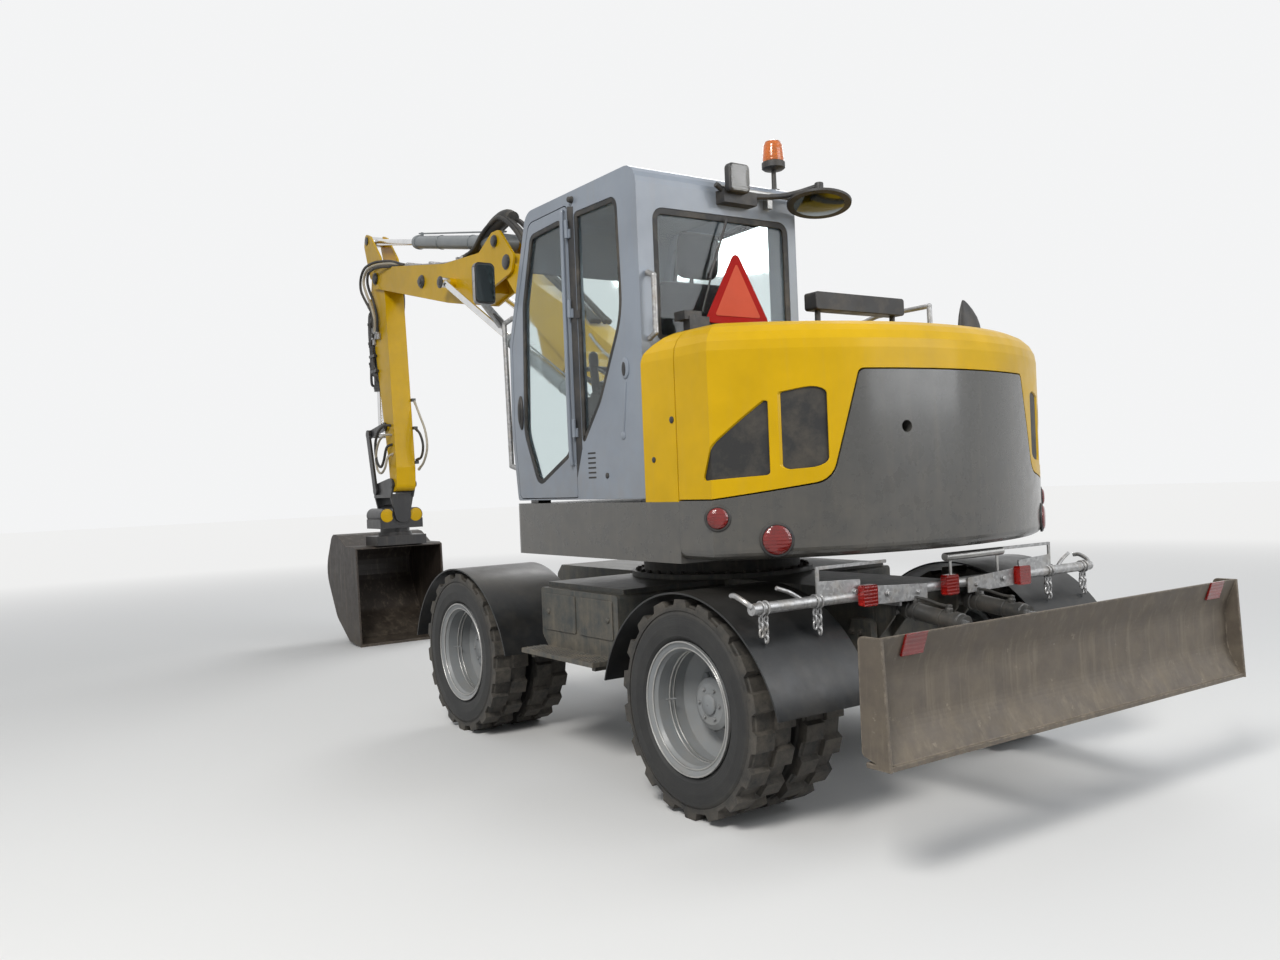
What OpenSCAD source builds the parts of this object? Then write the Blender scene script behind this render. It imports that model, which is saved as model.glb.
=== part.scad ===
/* [Wheels] */
// Distance between the front and the rear axle
wheelbase = 2265; // [2240:5:2300]
// Outer diameter of a tyre over its lugs
tyre_d = 950; // [930:2:960]
// Width of one tyre
tyre_w = 222; // [210:2:226]
// Gap between the two tyres of a pair
twin_gap = 50; // [40:2:60]
// Width over the outer tyres
track_outer = 2306; // [2290:2:2340]
// Diameter of a rim over its flange
rim_d = 585; // [560:5:600]
// Height of a tread lug
lug_h = 24; // [16:1:28]
// Lugs on one shoulder of a tyre
lug_count = 18; // [14:1:20]

/* [Undercarriage] */
// Width of the central chassis box
chassis_w = 580; // [540:10:620]
// Height of the chassis top above the ground
chassis_top = 930; // [915:5:940]
// Outer diameter of the slewing ring
ring_d = 900; // [840:10:920]
// Thickness of fender sheet
fender_t = 8; // [6:1:12]
// Length of the boxes between the wheels
side_box_l = 770; // [700:10:780]

/* [Blade] */
// Width of the dozer blade
blade_w = 2388; // [2300:4:2400]
// Height of the dozer blade
blade_h = 452; // [420:4:480]
// Height of the blade's lower edge when it is raised
blade_lift_z = 450; // [430:5:470]
// Thickness of the blade plate
blade_t = 16; // [12:1:20]

/* [Upper structure] */
// Tail radius about the slewing axis
tail_r = 1750; // [1730:5:1770]
// Width of the upper structure
upper_w = 2240; // [2220:4:2260]
// Height of the platform's underside
platform_z = 1100; // [1090:5:1110]
// Height of the platform's top
platform_top = 1370; // [1360:5:1380]
// Height of the engine hood's top
hood_top = 2130; // [2110:5:2150]
// Wall of the hood panels
hood_wall = 28; // [20:1:36]

/* [Cab] */
// Width of the cab
cab_w = 980; // [960:5:990]
// Height of the cab roof
cab_top = 2930; // [2900:5:2960]
// Wall of the cab
cab_wall = 46; // [40:1:52]
// Thickness of a window pane
glass_t = 6; // [5:1:8]
// Angle at which the lever on the left console leans
lever_lean = 8; // [0:1:15]

/* [Boom] */
// Width of the boom
boom_w = 240; // [220:5:250]
// Width of the stick
stick_w = 190; // [170:5:190]
// Diameter of the large boom pins
pin_d = 70; // [60:2:80]
// Length from the stick's pivot to the bucket pin
stick_l = 2020; // [1990:10:2050]

/* [Bucket] */
// Width of the bucket
bucket_w = 880; // [820:10:900]
// Thickness of the bucket's plates
bucket_t = 16; // [12:1:20]

/* [Hidden] */
$fn = 48;

// The slewing axis stands this far from the middle of the whole machine
slew_x = -1754;

axle_x = wheelbase / 2;
tyre_r = tyre_d / 2;
axle_z = tyre_r;
half_track = track_outer / 2;
inner_face = half_track - 2 * tyre_w - twin_gap;
hub_y = inner_face + tyre_w + twin_gap;
kingpin_y = inner_face + 82;
rim_r = rim_d / 2;
barrel_r = rim_r - 34;
seat_gap = 0.3;
run_gap = 0.05;

chassis_y = chassis_w / 2;
chassis_floor = 560;
tow_eye = [1450, 665];
tow_eye_y = 180;
tow_eye_t = 30;
tail_tube = [-1600, 940];
lamp_y = 530;
fender_r = 650;
fender_z = axle_z - 145;
fender_in = inner_face - 38;
fender_out = half_track + 7;

ring_z = chassis_top + 25;
upper_y = upper_w / 2;
cab_out = 1100;
cab_in = cab_out - cab_w;
cab_rear = -850;
cab_floor = platform_top + 16;
hood_x = -862;
bonnet_x = -1118;
hood_gap = 6;
boom_y = -50;
ram_side = 210;

// Joints of the arm in the plane of the boom, as [x, z]
foot = [200, 1600];
lift_base = [500, 1295];
lift_eye = [1812, 2256];
knee = [2370, 3170];
adjust_base = [1010, 1905];
adjust_eye = [3300, 3170];
stick_base = [2545, 3365];
stick_pivot = [5050, 3520];
stick_eye = [5320, 3940];
stick_end = stick_pivot + [-180, -stick_l + 26];

function unit(v) = v / norm(v);
function heading(v) = atan2(v[1], v[0]);
function turned(a) = a > 180 ? a - 360 : a < -180 ? a + 360 : a;

// Points of one corner of an outline, rounded with radius b[2]
function corner(a, b, c, steps) =
    let (p = [b[0], b[1]], u = unit([a[0], a[1]] - p), v = unit([c[0], c[1]] - p))
    let (half = acos(max(-1, min(1, u * v))) / 2, centre = p + unit(u + v) * (b[2] / sin(half)))
    let (from = heading(p + u * b[2] / tan(half) - centre), to = heading(p + v * b[2] / tan(half) - centre))
    [for (i = [0:steps]) centre + b[2] * [cos(from + turned(to - from) * i / steps),
        sin(from + turned(to - from) * i / steps)]];

// Outline from corners given as [x, y, radius]
function outline(corners, steps = 5) =
    let (n = len(corners))
    [for (i = [0:n - 1]) each corners[i][2] > 0
        ? corner(corners[(i + n - 1) % n], corners[i], corners[(i + 1) % n], steps)
        : [[corners[i][0], corners[i][1]]]];

// Corner of an outline, set off from a point
function off(p, x, z, r) = [p[0] + x, p[1] + z, r];

module machine() translate([slew_x, 0, 0]) children();
module both_sides() {
    children();
    mirror([0, 1, 0]) children();
}
// Plate with its outline in X and Z, between two values of Y
module side_plate(points, y0, y1)
    translate([0, y1, 0]) rotate([90, 0, 0]) linear_extrude(height = y1 - y0) polygon(points);
// Plate with its outline in Y and Z, between two values of X
module cross_plate(points, x0, x1)
    translate([x0, 0, 0]) rotate([90, 0, 90]) linear_extrude(height = x1 - x0) polygon(points);
module block(x0, x1, y0, y1, z0, z1) translate([x0, y0, z0]) cube([x1 - x0, y1 - y0, z1 - z0]);
// Round bar along Y at a point given as [x, z]
module bar_y(at, r, y0, y1, steps = $fn)
    translate([at[0], y1, at[1]]) rotate([90, 0, 0]) cylinder(r = r, h = y1 - y0, $fn = steps);
// Body turned about an axis along Y, from outline points given as [radius, y]
module ring_y(at, points)
    translate([at[0], 0, at[1]]) rotate([-90, 0, 0]) rotate_extrude() polygon(points);
// Cylinder from one point in X and Z towards another, starting and ending at distances from the first
module ram(from, to, y, r, d0, d1)
    translate([from[0], y, from[1]]) rotate([0, 90 - heading(to - from), 0])
        translate([0, 0, d0]) cylinder(r = r, h = d1 - d0);

// Distance from a barrel's base to its open end, and how far its rod goes in and out from the parked pose
lift_barrel_l = 1050;
lift_stroke = [325, 220];
adjust_barrel_l = 1330;
adjust_stroke = [545, 115];
stick_barrel_l = 1790;
stick_stroke = [630, 225];
bucket_barrel_l = 850;
bucket_stroke = [380, 355];
blade_barrel_l = 400;
blade_stroke = [0, 180];
// Length of rod that stays in its barrel when it is all the way out
rod_guide = 40;
// Barrel of a ram, bored for its rod, from a distance d0 to its open end
module bored_ram(from, to, y, r, d0, end, rod_r, stroke)
    difference() {
        ram(from, to, y, r, d0, end);
        ram(from, to, y, rod_r + seat_gap, end - stroke[0] - stroke[1] - rod_guide - 10, end + 1);
    }
// Rod of a ram, from inside its barrel to its eye
module ram_rod(from, to, y, r, end, stroke)
    ram(from, to, y, r, end - stroke[1] - rod_guide, norm(to - from) - 20);

/* Wheels */
module tyre_shape(y0) {
    crown = tyre_r - lug_h;
    y1 = y0 + tyre_w;
    bead = barrel_r + 11 + seat_gap;
    side = [[bead, y0 + 36], [rim_r + 2, y0 + 24], [rim_r + 22, y0 + 6], [rim_r + 70, y0], [crown - 40, y0 + 4],
        [crown, y0 + 26], [crown, y1 - 26], [crown - 40, y1 - 4], [rim_r + 70, y1],
        [rim_r + 22, y1 - 6], [rim_r + 2, y1 - 24], [bead, y1 - 36]];
    ring_y([0, 0], side);
    for (edge = [0, 1])
        lug_ring(edge == 0 ? y0 + 6 : y1 - 6 - tyre_w * 0.44, tyre_w * 0.44, edge * 180 / lug_count);
}
// Toothed ring that carries the lugs of one shoulder
module lug_ring(y, w, phase) {
    root = tyre_r - lug_h - 6;
    pitch = 360 / lug_count;
    teeth = [for (i = [0:lug_count - 1]) each [
        root * [cos(phase + i * pitch), sin(phase + i * pitch)],
        tyre_r * [cos(phase + (i + 0.08) * pitch), sin(phase + (i + 0.08) * pitch)],
        tyre_r * [cos(phase + (i + 0.52) * pitch), sin(phase + (i + 0.52) * pitch)],
        root * [cos(phase + (i + 0.60) * pitch), sin(phase + (i + 0.60) * pitch)]]];
    translate([0, y + w, 0]) rotate([90, 0, 0]) linear_extrude(height = w)
        difference() {
            polygon(teeth);
            circle(r = root - 20);
        }
}
module twin_tyres(x, turn) {
    color([0.10, 0.10, 0.10]) machine() translate([x, 0, axle_z]) rotate([0, turn, 0]) {
        tyre_shape(inner_face);
        tyre_shape(hub_y);
    }
}
module twin_rims(x) {
    y_in = inner_face;
    y_out = half_track;
    disc_y = hub_y - twin_gap / 2;
    inner_r = barrel_r - 10;
    color([0.72, 0.73, 0.74]) machine() translate([x, 0, axle_z]) {
        ring_y([0, 0], [[barrel_r + 11, y_out - 34], [rim_r, y_out - 22], [rim_r, y_out - 10],
            [barrel_r + 4, y_out - 24], [inner_r, y_out - 44], [inner_r, disc_y + 60], [inner_r - 70, disc_y + 22],
            [0, disc_y + 22], [0, disc_y], [inner_r - 70, disc_y], [barrel_r + 11, disc_y + 34]]);
        ring_y([0, 0], [[barrel_r + 11, y_in + 34], [rim_r, y_in + 22], [rim_r, y_in + 10],
            [barrel_r + 4, y_in + 24], [inner_r, y_in + 44], [inner_r, disc_y - 60], [inner_r - 60, disc_y - 22],
            [170, disc_y - 22], [170, disc_y], [inner_r - 60, disc_y], [barrel_r + 11, disc_y - 34]]);
        ring_y([0, 0], [[0, disc_y + 22], [115, disc_y + 22], [115, disc_y + 90], [90, disc_y + 104],
            [0, disc_y + 104]]);
    }
}
module tyres_front_left() twin_tyres(axle_x, 4);
module tyres_front_right() mirror([0, 1, 0]) twin_tyres(axle_x, 9);
module tyres_rear_left() twin_tyres(-axle_x, 7);
module tyres_rear_right() mirror([0, 1, 0]) twin_tyres(-axle_x, 2);
module rims_front_left() twin_rims(axle_x);
module rims_front_right() mirror([0, 1, 0]) twin_rims(axle_x);
module rims_rear_left() twin_rims(-axle_x);
module rims_rear_right() mirror([0, 1, 0]) twin_rims(-axle_x);

/* Axles and steering */
flange_y = hub_y - twin_gap / 2 - seat_gap;
module axle_beam(x, reach) {
    bar_y([x, axle_z], 72, -reach, reach);
    translate([x, 0, axle_z]) sphere(r = 150);
    for (side = [-1, 1])
        block(x - 80, x + 80, side * 210 - 40, side * 210 + 40, axle_z, chassis_floor + 70);
}
module rear_axle() {
    color([0.16, 0.17, 0.17]) machine() {
        axle_beam(-axle_x, flange_y);
        both_sides() bar_y([-axle_x, axle_z], 160, inner_face - 24, flange_y);
    }
}
module front_axle() {
    color([0.16, 0.17, 0.17]) machine() {
        axle_beam(axle_x, kingpin_y);
        both_sides() translate([axle_x, kingpin_y, axle_z - 112.2]) cylinder(r = 62, h = 224.4);
    }
}
// Steering knuckle whose arms reach over the beam's end, above and below
module knuckle() {
    machine() {
        difference() {
            bar_y([axle_x, axle_z], 160, kingpin_y - 60, flange_y);
            block(axle_x - 170, axle_x + 170, kingpin_y - 70, kingpin_y + 78, axle_z - 112.5,
                axle_z + 112.5);
        }
        block(axle_x - 60, axle_x + 60, kingpin_y + 40, kingpin_y + 90, axle_z + 112.5, axle_z + 150);
        block(axle_x - 60, axle_x + 60, fender_in + 14, kingpin_y + 60, axle_z + 112.5, axle_z + 150);
    }
}
module knuckle_left() color([0.18, 0.19, 0.19]) knuckle();
module knuckle_right() color([0.18, 0.19, 0.19]) mirror([0, 1, 0]) knuckle();

/* Undercarriage */
module chassis_frame() {
    rear = -1440;
    front = 1400;
    side = outline([[rear, chassis_floor + 70, 0], [-780, chassis_floor + 70, 0], [-700, chassis_floor - 40, 0],
        [700, chassis_floor - 40, 0], [780, chassis_floor + 70, 0], [front, chassis_floor + 70, 0],
        [front, chassis_top - 60, 40], [front - 60, chassis_top, 0], [rear, chassis_top, 0]]);
    color([0.15, 0.17, 0.17]) machine() {
        side_plate(side, -chassis_y, chassis_y);
        translate([0, 0, chassis_top - 3]) cylinder(r = ring_d / 2 + 70, h = 28);
        both_sides() side_plate(outline([[-1460, 530, 40], [-1460, 800, 30], [-1340, 800, 0], [-1300, 630, 0],
            [-1340, 530, 40]]), chassis_y, 330);
        for (y = [blade_cyl_y - 40.3 - 14, blade_cyl_y + 40.3])
            both_sides() side_plate(outline([[-1545, 815, 30], [-1545, 905, 30], [rear, 905, 0], [rear, 700, 0]]),
                y, y + 14);
        both_sides() translate([0, 0, tow_eye[1] - tow_eye_t / 2]) linear_extrude(height = tow_eye_t)
            difference() {
                polygon(outline([[front - 20, tow_eye_y - 60, 0], [front - 20, tow_eye_y + 60, 0],
                    [front + 110, tow_eye_y + 60, 50], [front + 110, tow_eye_y - 60, 50]]));
                translate([tow_eye[0], tow_eye_y]) circle(r = 22);
            }
    }
}
module slew_ring() {
    color([0.12, 0.12, 0.12]) machine() translate([0, 0, ring_z]) difference() {
        cylinder(r = ring_d / 2, h = platform_z - 45 - ring_z);
        translate([0, 0, -1]) cylinder(r = ring_d / 2 - 90, h = 200);
    }
}
module side_boxes() {
    l = side_box_l / 2;
    color([0.17, 0.19, 0.19]) machine() both_sides() {
        side_plate(outline([[-l, 640, 0], [-l, 900, 20], [l, 900, 20], [l, 640, 0], [l - 90, 545, 0],
            [-l + 90, 545, 0]]), chassis_y, 985);
        block(-l + 20, l - 20, 985, half_track - 20, 556, 580);
        for (x = [-l + 60, l - 90])
            block(x, x + 30, 940, half_track - 60, 530, 556);
        block(-l + 10, l - 10, chassis_y, 940, 900, chassis_top - 4);
    }
}
module fender_arc(y0, y1) {
    difference() {
        bar_y([0, fender_z], fender_r, y0, y1, 144);
        bar_y([0, fender_z], fender_r - fender_t, y0 - 1, y1 + 1, 144);
        block(-900, 900, y0 - 2, y1 + 2, -900, fender_z + 190);
    }
}
module rear_fenders() {
    color([0.08, 0.08, 0.08]) machine() both_sides() translate([-axle_x, 0, 0]) {
        fender_arc(fender_in, fender_out);
        block(420, 450, chassis_y, fender_in + 30, 640, 800);
        block(420, 580, fender_in, fender_in + 12, 640, 800);
    }
}
module front_fender() {
    machine() translate([axle_x, 0, 0]) {
        fender_arc(fender_in, fender_out);
        intersection() {
            block(-110, 110, fender_in, fender_in + 14, axle_z + 112.5, 1200);
            bar_y([0, fender_z], fender_r - 1, fender_in - 1, fender_out, 144);
        }
    }
}
module fender_front_left() color([0.08, 0.08, 0.08]) front_fender();
module fender_front_right() color([0.08, 0.08, 0.08]) mirror([0, 1, 0]) front_fender();
module tail_bar() {
    color([0.62, 0.64, 0.64]) machine() {
        bar_y(tail_tube, 24, -half_track + 6, half_track - 6);
        both_sides() block(tail_tube[0], -1440.2, 276, 290, tail_tube[1] - 70, tail_tube[1]);
    }
}
module tail_lamps() {
    color([0.55, 0.06, 0.05]) machine() for (y = [-lamp_y, 0, lamp_y])
        cross_plate(outline([[y - 42, tail_tube[1] - 42, 12], [y + 42, tail_tube[1] - 42, 12],
            [y + 42, tail_tube[1] + 48, 12], [y - 42, tail_tube[1] + 48, 12]]),
            tail_tube[0] - 60, tail_tube[0] - 24.2);
}

/* Dozer blade */
blade_back = -2325;
blade_pivot = [-1400, 600];
blade_cyl_base = [-1500, 860];
blade_cyl_eye = [blade_back + 115, 760];
blade_cyl_y = 215;
blade_rod_r = 20;
module dozer_blade() {
    z0 = blade_lift_z;
    z1 = z0 + blade_h;
    face = outline([[blade_back - 10, z0, 0], [blade_back + 55, z0 + 0.28 * blade_h, 200],
        [blade_back + 60, z0 + 0.7 * blade_h, 200], [blade_back + 5, z1, 0],
        [blade_back + 5 + blade_t, z1, 0], [blade_back + 60 + blade_t, z0 + 0.7 * blade_h, 200],
        [blade_back + 55 + blade_t, z0 + 0.28 * blade_h, 200], [blade_back - 10 + blade_t + 6, z0, 0]]);
    cheek = outline([[blade_back - 20, z0, 0], [blade_back + 2, z1, 0], [blade_back + 110, z1, 20],
        [blade_back + 110, z0 + 40, 20]]);
    color([0.36, 0.33, 0.29]) machine() {
        side_plate(face, -blade_w / 2, blade_w / 2);
        both_sides() side_plate(cheek, blade_w / 2 - 12, blade_w / 2);
        block(blade_back - 14, blade_back + 90, -blade_w / 2, blade_w / 2, z0, z0 + 18);
        both_sides() side_plate(outline([[blade_back + 63, 500, 20], [blade_back + 63, 700, 20], [-1400, 655, 54],
            [-1345, 600, 54], [-1400, 545, 54]]), 345, 385);
        both_sides() bar_y(blade_pivot, 30, 330.3, 345);
        for (y = [blade_cyl_y - 42.3, blade_cyl_y + 22.3])
            both_sides() side_plate(outline([off(blade_cyl_eye, -48, -60, 0), off(blade_cyl_eye, 30, -60, 20),
                off(blade_cyl_eye, 40, 40, 40), off(blade_cyl_eye, -40, 65, 20), off(blade_cyl_eye, -52, 30, 0)]),
                y, y + 20);
    }
}
module blade_barrels() {
    color([0.30, 0.31, 0.31]) machine() both_sides() {
        ram(blade_cyl_base, blade_cyl_eye, blade_cyl_y, 24, 30, 66);
        bored_ram(blade_cyl_base, blade_cyl_eye, blade_cyl_y, 38, 66, blade_barrel_l, blade_rod_r, blade_stroke);
        bar_y(blade_cyl_base, 44, blade_cyl_y - 40, blade_cyl_y + 40);
    }
}
module blade_rods() {
    color([0.80, 0.80, 0.80]) machine() both_sides() {
        ram_rod(blade_cyl_base, blade_cyl_eye, blade_cyl_y, blade_rod_r, blade_barrel_l, blade_stroke);
        bar_y(blade_cyl_eye, 34, blade_cyl_y - 22, blade_cyl_y + 22);
    }
}

/* Upper structure */
// Rounding of the hood along its upper edges
hood_edge = 130;
// Body of the tail: round behind, flat at the sides, with rounded upper and lower edges
module tail_volume(inset, z0, z1, edge, x1, low = 0) {
    r = tail_r - inset;
    intersection() {
        rotate_extrude($fn = 96)
            polygon(outline([[0, z0, 0], [r, z0, low], [r, z1 - inset, edge], [0, z1 - inset, 0]]));
        cross_plate(outline([[-upper_y + inset, z0, low], [-upper_y + inset, z1 - inset, edge],
            [upper_y - inset, z1 - inset, edge], [upper_y - inset, z0, low]]), -tail_r - 10, x1);
    }
}
// Edge between the counterweight and the hood, as points in Y and Z
function weight_edge(gap) = let (w = upper_y + 10)
    outline([[-w, platform_z - 20, 0], [w, platform_z - 20, 0], [w, 1372 + gap, 0],
        [677 + gap, 1437 + gap, 100], [545 + gap, 1905 + gap, 30], [-545 - gap, 1905 + gap, 30],
        [-677 - gap, 1437 + gap, 100], [-w, 1372 + gap, 0]]);
module counterweight() {
    color([0.27, 0.27, 0.26]) machine() difference() {
        intersection() {
            tail_volume(0, platform_z + 18, 2000, 60, bonnet_x + 2.7, 45);
            cross_plate(weight_edge(0), -tail_r, bonnet_x + 2.7);
        }
        block(-tail_r + 330, 0, -880, 880, platform_top - 120, 2100);
        translate([-tail_r, 331, 1659]) rotate([0, 90, 0]) cylinder(r = 26, h = 160);
    }
}
bonnet_hinge = [bonnet_x + 3, hood_top + 16];
module bonnet() {
    color([0.84, 0.63, 0.02]) machine() {
        difference() {
            tail_volume(0, platform_top, hood_top, hood_edge, bonnet_x);
            tail_volume(hood_wall, platform_top - 10, hood_top, hood_edge - hood_wall, bonnet_x + 20);
            cross_plate(weight_edge(hood_gap), -tail_r - 20, bonnet_x + 20);
            grille_cuts(0);
        }
        both_sides() {
            bar_y(bonnet_hinge, 12, 560, 600);
            block(bonnet_x - 40, bonnet_x + 3, 560, 600, hood_top - 10, hood_top + 16);
        }
    }
}
// Corners of a convex outline moved inwards by d
function inward(corners, d) =
    let (n = len(corners))
    [for (i = [0:n - 1])
        let (a = corners[(i + n - 1) % n], b = corners[i], c = corners[(i + 1) % n], p = [b[0], b[1]])
        let (u = unit([a[0], a[1]] - p), v = unit([c[0], c[1]] - p), half = acos(u * v) / 2)
        let (q = p + unit(u + v) * d / sin(half)) [q[0], q[1], max(b[2] - d, 0)]];
// Vent openings in the bonnet's left and right sides
module grille_cuts(inset) {
    back = -tail_r;
    both_sides() {
        side_plate(outline(inward([[back + 460, 1455, 14], [back + 261, 1472, 12], [back + 261, 1800, 8],
            [back + 400, 1610, 160]], inset)), 700, 1300);
        side_plate(outline(inward([[back + 239, 1490, 20], [back + 143, 1500, 40], [back + 143, 1850, 30],
            [back + 239, 1815, 12]], inset)), 640, 1300);
    }
}
module hood_grilles() {
    color([0.10, 0.10, 0.10]) machine() intersection() {
        difference() {
            tail_volume(8, platform_top + 5, hood_top, hood_edge - 8, bonnet_x - 5);
            tail_volume(16, platform_top - 10, hood_top, hood_edge - 16, bonnet_x + 20);
            cross_plate(weight_edge(hood_gap), -tail_r - 20, bonnet_x + 20);
        }
        grille_cuts(seat_gap);
    }
}
module hood_front() {
    color([0.84, 0.63, 0.02]) machine() {
        difference() {
            intersection() {
                side_plate(outline([[hood_x, platform_top, 0], [hood_x, 2035, 70], [-1000, 2120, 60],
                    [bonnet_x + hood_gap, hood_top, 0], [bonnet_x + hood_gap, platform_top, 0]]), -upper_y, upper_y);
                cross_plate(outline([[-upper_y, platform_top, 0], [-upper_y, hood_top, hood_edge],
                    [upper_y, hood_top, hood_edge], [upper_y, platform_top, 0]]), bonnet_x, hood_x + 1);
            }
            block(bonnet_x, hood_x - 30, -upper_y + 30, upper_y - 30, platform_top - 10, 1960);
        }
        both_sides() {
            bar_y(bonnet_hinge, 12, 600.3, 640);
            block(bonnet_x + 3, bonnet_x + 45, 600.3, 640, hood_top - 20, hood_top + 12);
        }
    }
}
module right_cover() {
    color([0.84, 0.63, 0.02]) machine()
        side_plate(outline([[hood_x + 2, platform_top, 0], [hood_x + 2, 2030, 30], [-250, 2030, 120],
            [800, 1760, 90], [840, platform_top, 0]]), -upper_y, -240);
}
module engine_block() {
    color([0.35, 0.35, 0.35]) machine() block(-1400, -980, -420, 380, platform_top, 1880);
}
module platform() {
    nose_y = boom_w / 2 + 35;
    slot_y = boom_w / 2 + seat_gap;
    eye_y = 45 + seat_gap;
    deck = outline([[bonnet_x + 3, -upper_y, 0], [bonnet_x + 3, upper_y, 0], [400, upper_y, 60], [430, cab_in, 0],
        [640, boom_y + nose_y, 0], [640, boom_y + slot_y, 0], [400, boom_y + slot_y, 0],
        [400, boom_y - slot_y, 0], [640, boom_y - slot_y, 0], [640, boom_y - nose_y, 0], [840, -240, 0],
        [840, -upper_y, 60]]);
    color([0.24, 0.24, 0.23]) machine() {
        translate([0, 0, platform_z]) linear_extrude(height = platform_top - platform_z) polygon(deck);
        translate([0, 0, platform_z - 44.5]) cylinder(r = ring_d / 2 - 10, h = 50);
        for (y = [boom_y + slot_y, boom_y - nose_y])
            side_plate(outline([[-420, platform_top - 5, 0], [60, 1730, 60], [340, 1730, 90],
                [640, platform_top + 10, 60], [640, platform_z + 80, 60], [500, platform_z + 60, 0]]),
                y, y + nose_y - slot_y);
        bar_y(foot, pin_d / 2, boom_y - nose_y - 8, boom_y + nose_y + 8);
        bar_y(lift_base, 25, boom_y - nose_y - 8, boom_y + nose_y + 8);
        for (y = [boom_y + eye_y, boom_y - slot_y - 5])
            bar_y(lift_base, 48, y, y + slot_y + 5 - eye_y);
        for (x = [-800, 280], y = [cab_in + 60, cab_out - 140])
            block(x, x + 80, y, y + 80, platform_top - 5, cab_floor - 0.2);
    }
}

/* Cab */
door_hinge = [-246, cab_out + 12];
door_hinge_z = [1700, 2300, 2700];
function cab_side(inset) = outline([[cab_rear + inset, cab_floor + inset, 20],
    [cab_rear + inset, cab_top - inset, 90], [190 - inset, cab_top - inset, 90], [425 - inset, 2250, 200],
    [435 - inset, 1750, 100], [390 - inset, cab_floor + inset, 20]]);
function door_side(inset) = outline([[-236 + inset, cab_floor + 12 + inset, 10],
    [-236 + inset, 2868 - inset, 30], [160 - inset, 2862 - inset, 60], [392 - inset, 2240, 200],
    [402 - inset, 1760, 100], [362 - inset, cab_floor + 12 + inset, 30]]);
function door_window(inset) = outline([[-190 + inset, 2815 - inset, 50], [150 - inset, 2800 - inset, 60],
    [262 - inset, 2440, 300], [300 - inset, 1750, 200], [160 - inset, 1450 + inset, 70],
    [-190 + inset, 1610 + inset, 70]], 6);
function quarter_window(inset) = outline([[-300 - inset, 2820 - inset, 30], [-690 + inset, 2815 - inset, 60],
    [-705 + inset, 2250, 400], [-490 + inset, 1860 + inset, 300], [-300 - inset, 1640 + inset, 20]], 6);
function rear_window(inset) = outline([[172 + inset, 2110 + inset, 40], [1012 - inset, 2110 + inset, 40],
    [1012 - inset, 2732 - inset, 60], [172 + inset, 2740 - inset, 60]]);
function right_window(inset) = outline([[-690 + inset, 1900 + inset, 60], [-690 + inset, 2815 - inset, 60],
    [130 - inset, 2800 - inset, 60], [300 - inset, 2250, 200], [310 - inset, 1900 + inset, 60]]);
function front_window(inset) = outline([[cab_in + 60 + inset, 1480 + inset, 40], [cab_out - 60 - inset, 1480 + inset, 40],
    [cab_out - 60 - inset, 2840 - inset, 40], [cab_in + 60 + inset, 2840 - inset, 40]]);
module cab_cuts(inset) {
    side_plate(quarter_window(inset), cab_out - 80, cab_out + 10);
    cross_plate(rear_window(inset), cab_rear - 10, cab_rear + 80);
    side_plate(right_window(inset), cab_in - 10, cab_in + 80);
    intersection() {
        cross_plate(front_window(inset), 0, 600);
        side_plate(outline([[250 - 60, 2840, 0], [500, 2840, 0], [500, 1450, 0], [330, 1450, 0], [330, 2250, 0]]),
            cab_in, cab_out);
    }
}
module cab_frame() {
    color([0.60, 0.63, 0.67]) machine() difference() {
        side_plate(cab_side(0), cab_in, cab_out);
        side_plate(cab_side(cab_wall), cab_in + cab_wall, cab_out - cab_wall);
        side_plate(door_side(-5), cab_out - cab_wall - 1, cab_out + 1);
        cab_cuts(0);
    }
    color([0.60, 0.63, 0.67]) machine() for (z = door_hinge_z) {
        translate([door_hinge[0], door_hinge[1], z]) cylinder(r = 11, h = 45);
        block(door_hinge[0] - 22, door_hinge[0], cab_out - 10, cab_out + 8, z, z + 45);
    }
}
module cab_glass() {
    color([0.55, 0.65, 0.68, 0.4]) machine() intersection() {
        difference() {
            side_plate(cab_side(14), cab_in + 14, cab_out - 14);
            side_plate(cab_side(14 + glass_t), cab_in + 14 + glass_t, cab_out - 14 - glass_t);
        }
        cab_cuts(seat_gap);
    }
}
module cab_door() {
    color([0.60, 0.63, 0.67]) machine() difference() {
        side_plate(door_side(0), cab_out - cab_wall, cab_out);
        side_plate(door_window(0), cab_out - cab_wall - 1, cab_out + 1);
    }
    color([0.60, 0.63, 0.67]) machine() for (z = door_hinge_z) {
        translate([door_hinge[0], door_hinge[1], z + 45.3]) cylinder(r = 11, h = 45);
        block(door_hinge[0], door_hinge[0] + 26, cab_out + 2, cab_out + 10, z + 45.3, z + 90.3);
        block(door_hinge[0] + 14, door_hinge[0] + 26, cab_out - 10, cab_out + 10, z + 45.3, z + 90.3);
    }
}
module door_glass() {
    color([0.55, 0.65, 0.68, 0.4]) machine()
        side_plate(door_window(seat_gap), cab_out - 20, cab_out - 20 + glass_t);
}
seat_x = -330;
seat_y = 610;
seat_floor = cab_floor + cab_wall;
lever_r = 22;
module seat_base() {
    color([0.10, 0.10, 0.10]) machine() {
        block(seat_x - 150, seat_x + 200, seat_y - 170, seat_y + 170, seat_floor, seat_floor + 300);
        both_sides_of(seat_y, 300) block(seat_x - 200, seat_x + 230, -45, 45, seat_floor, seat_floor + 480);
    }
}
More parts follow.
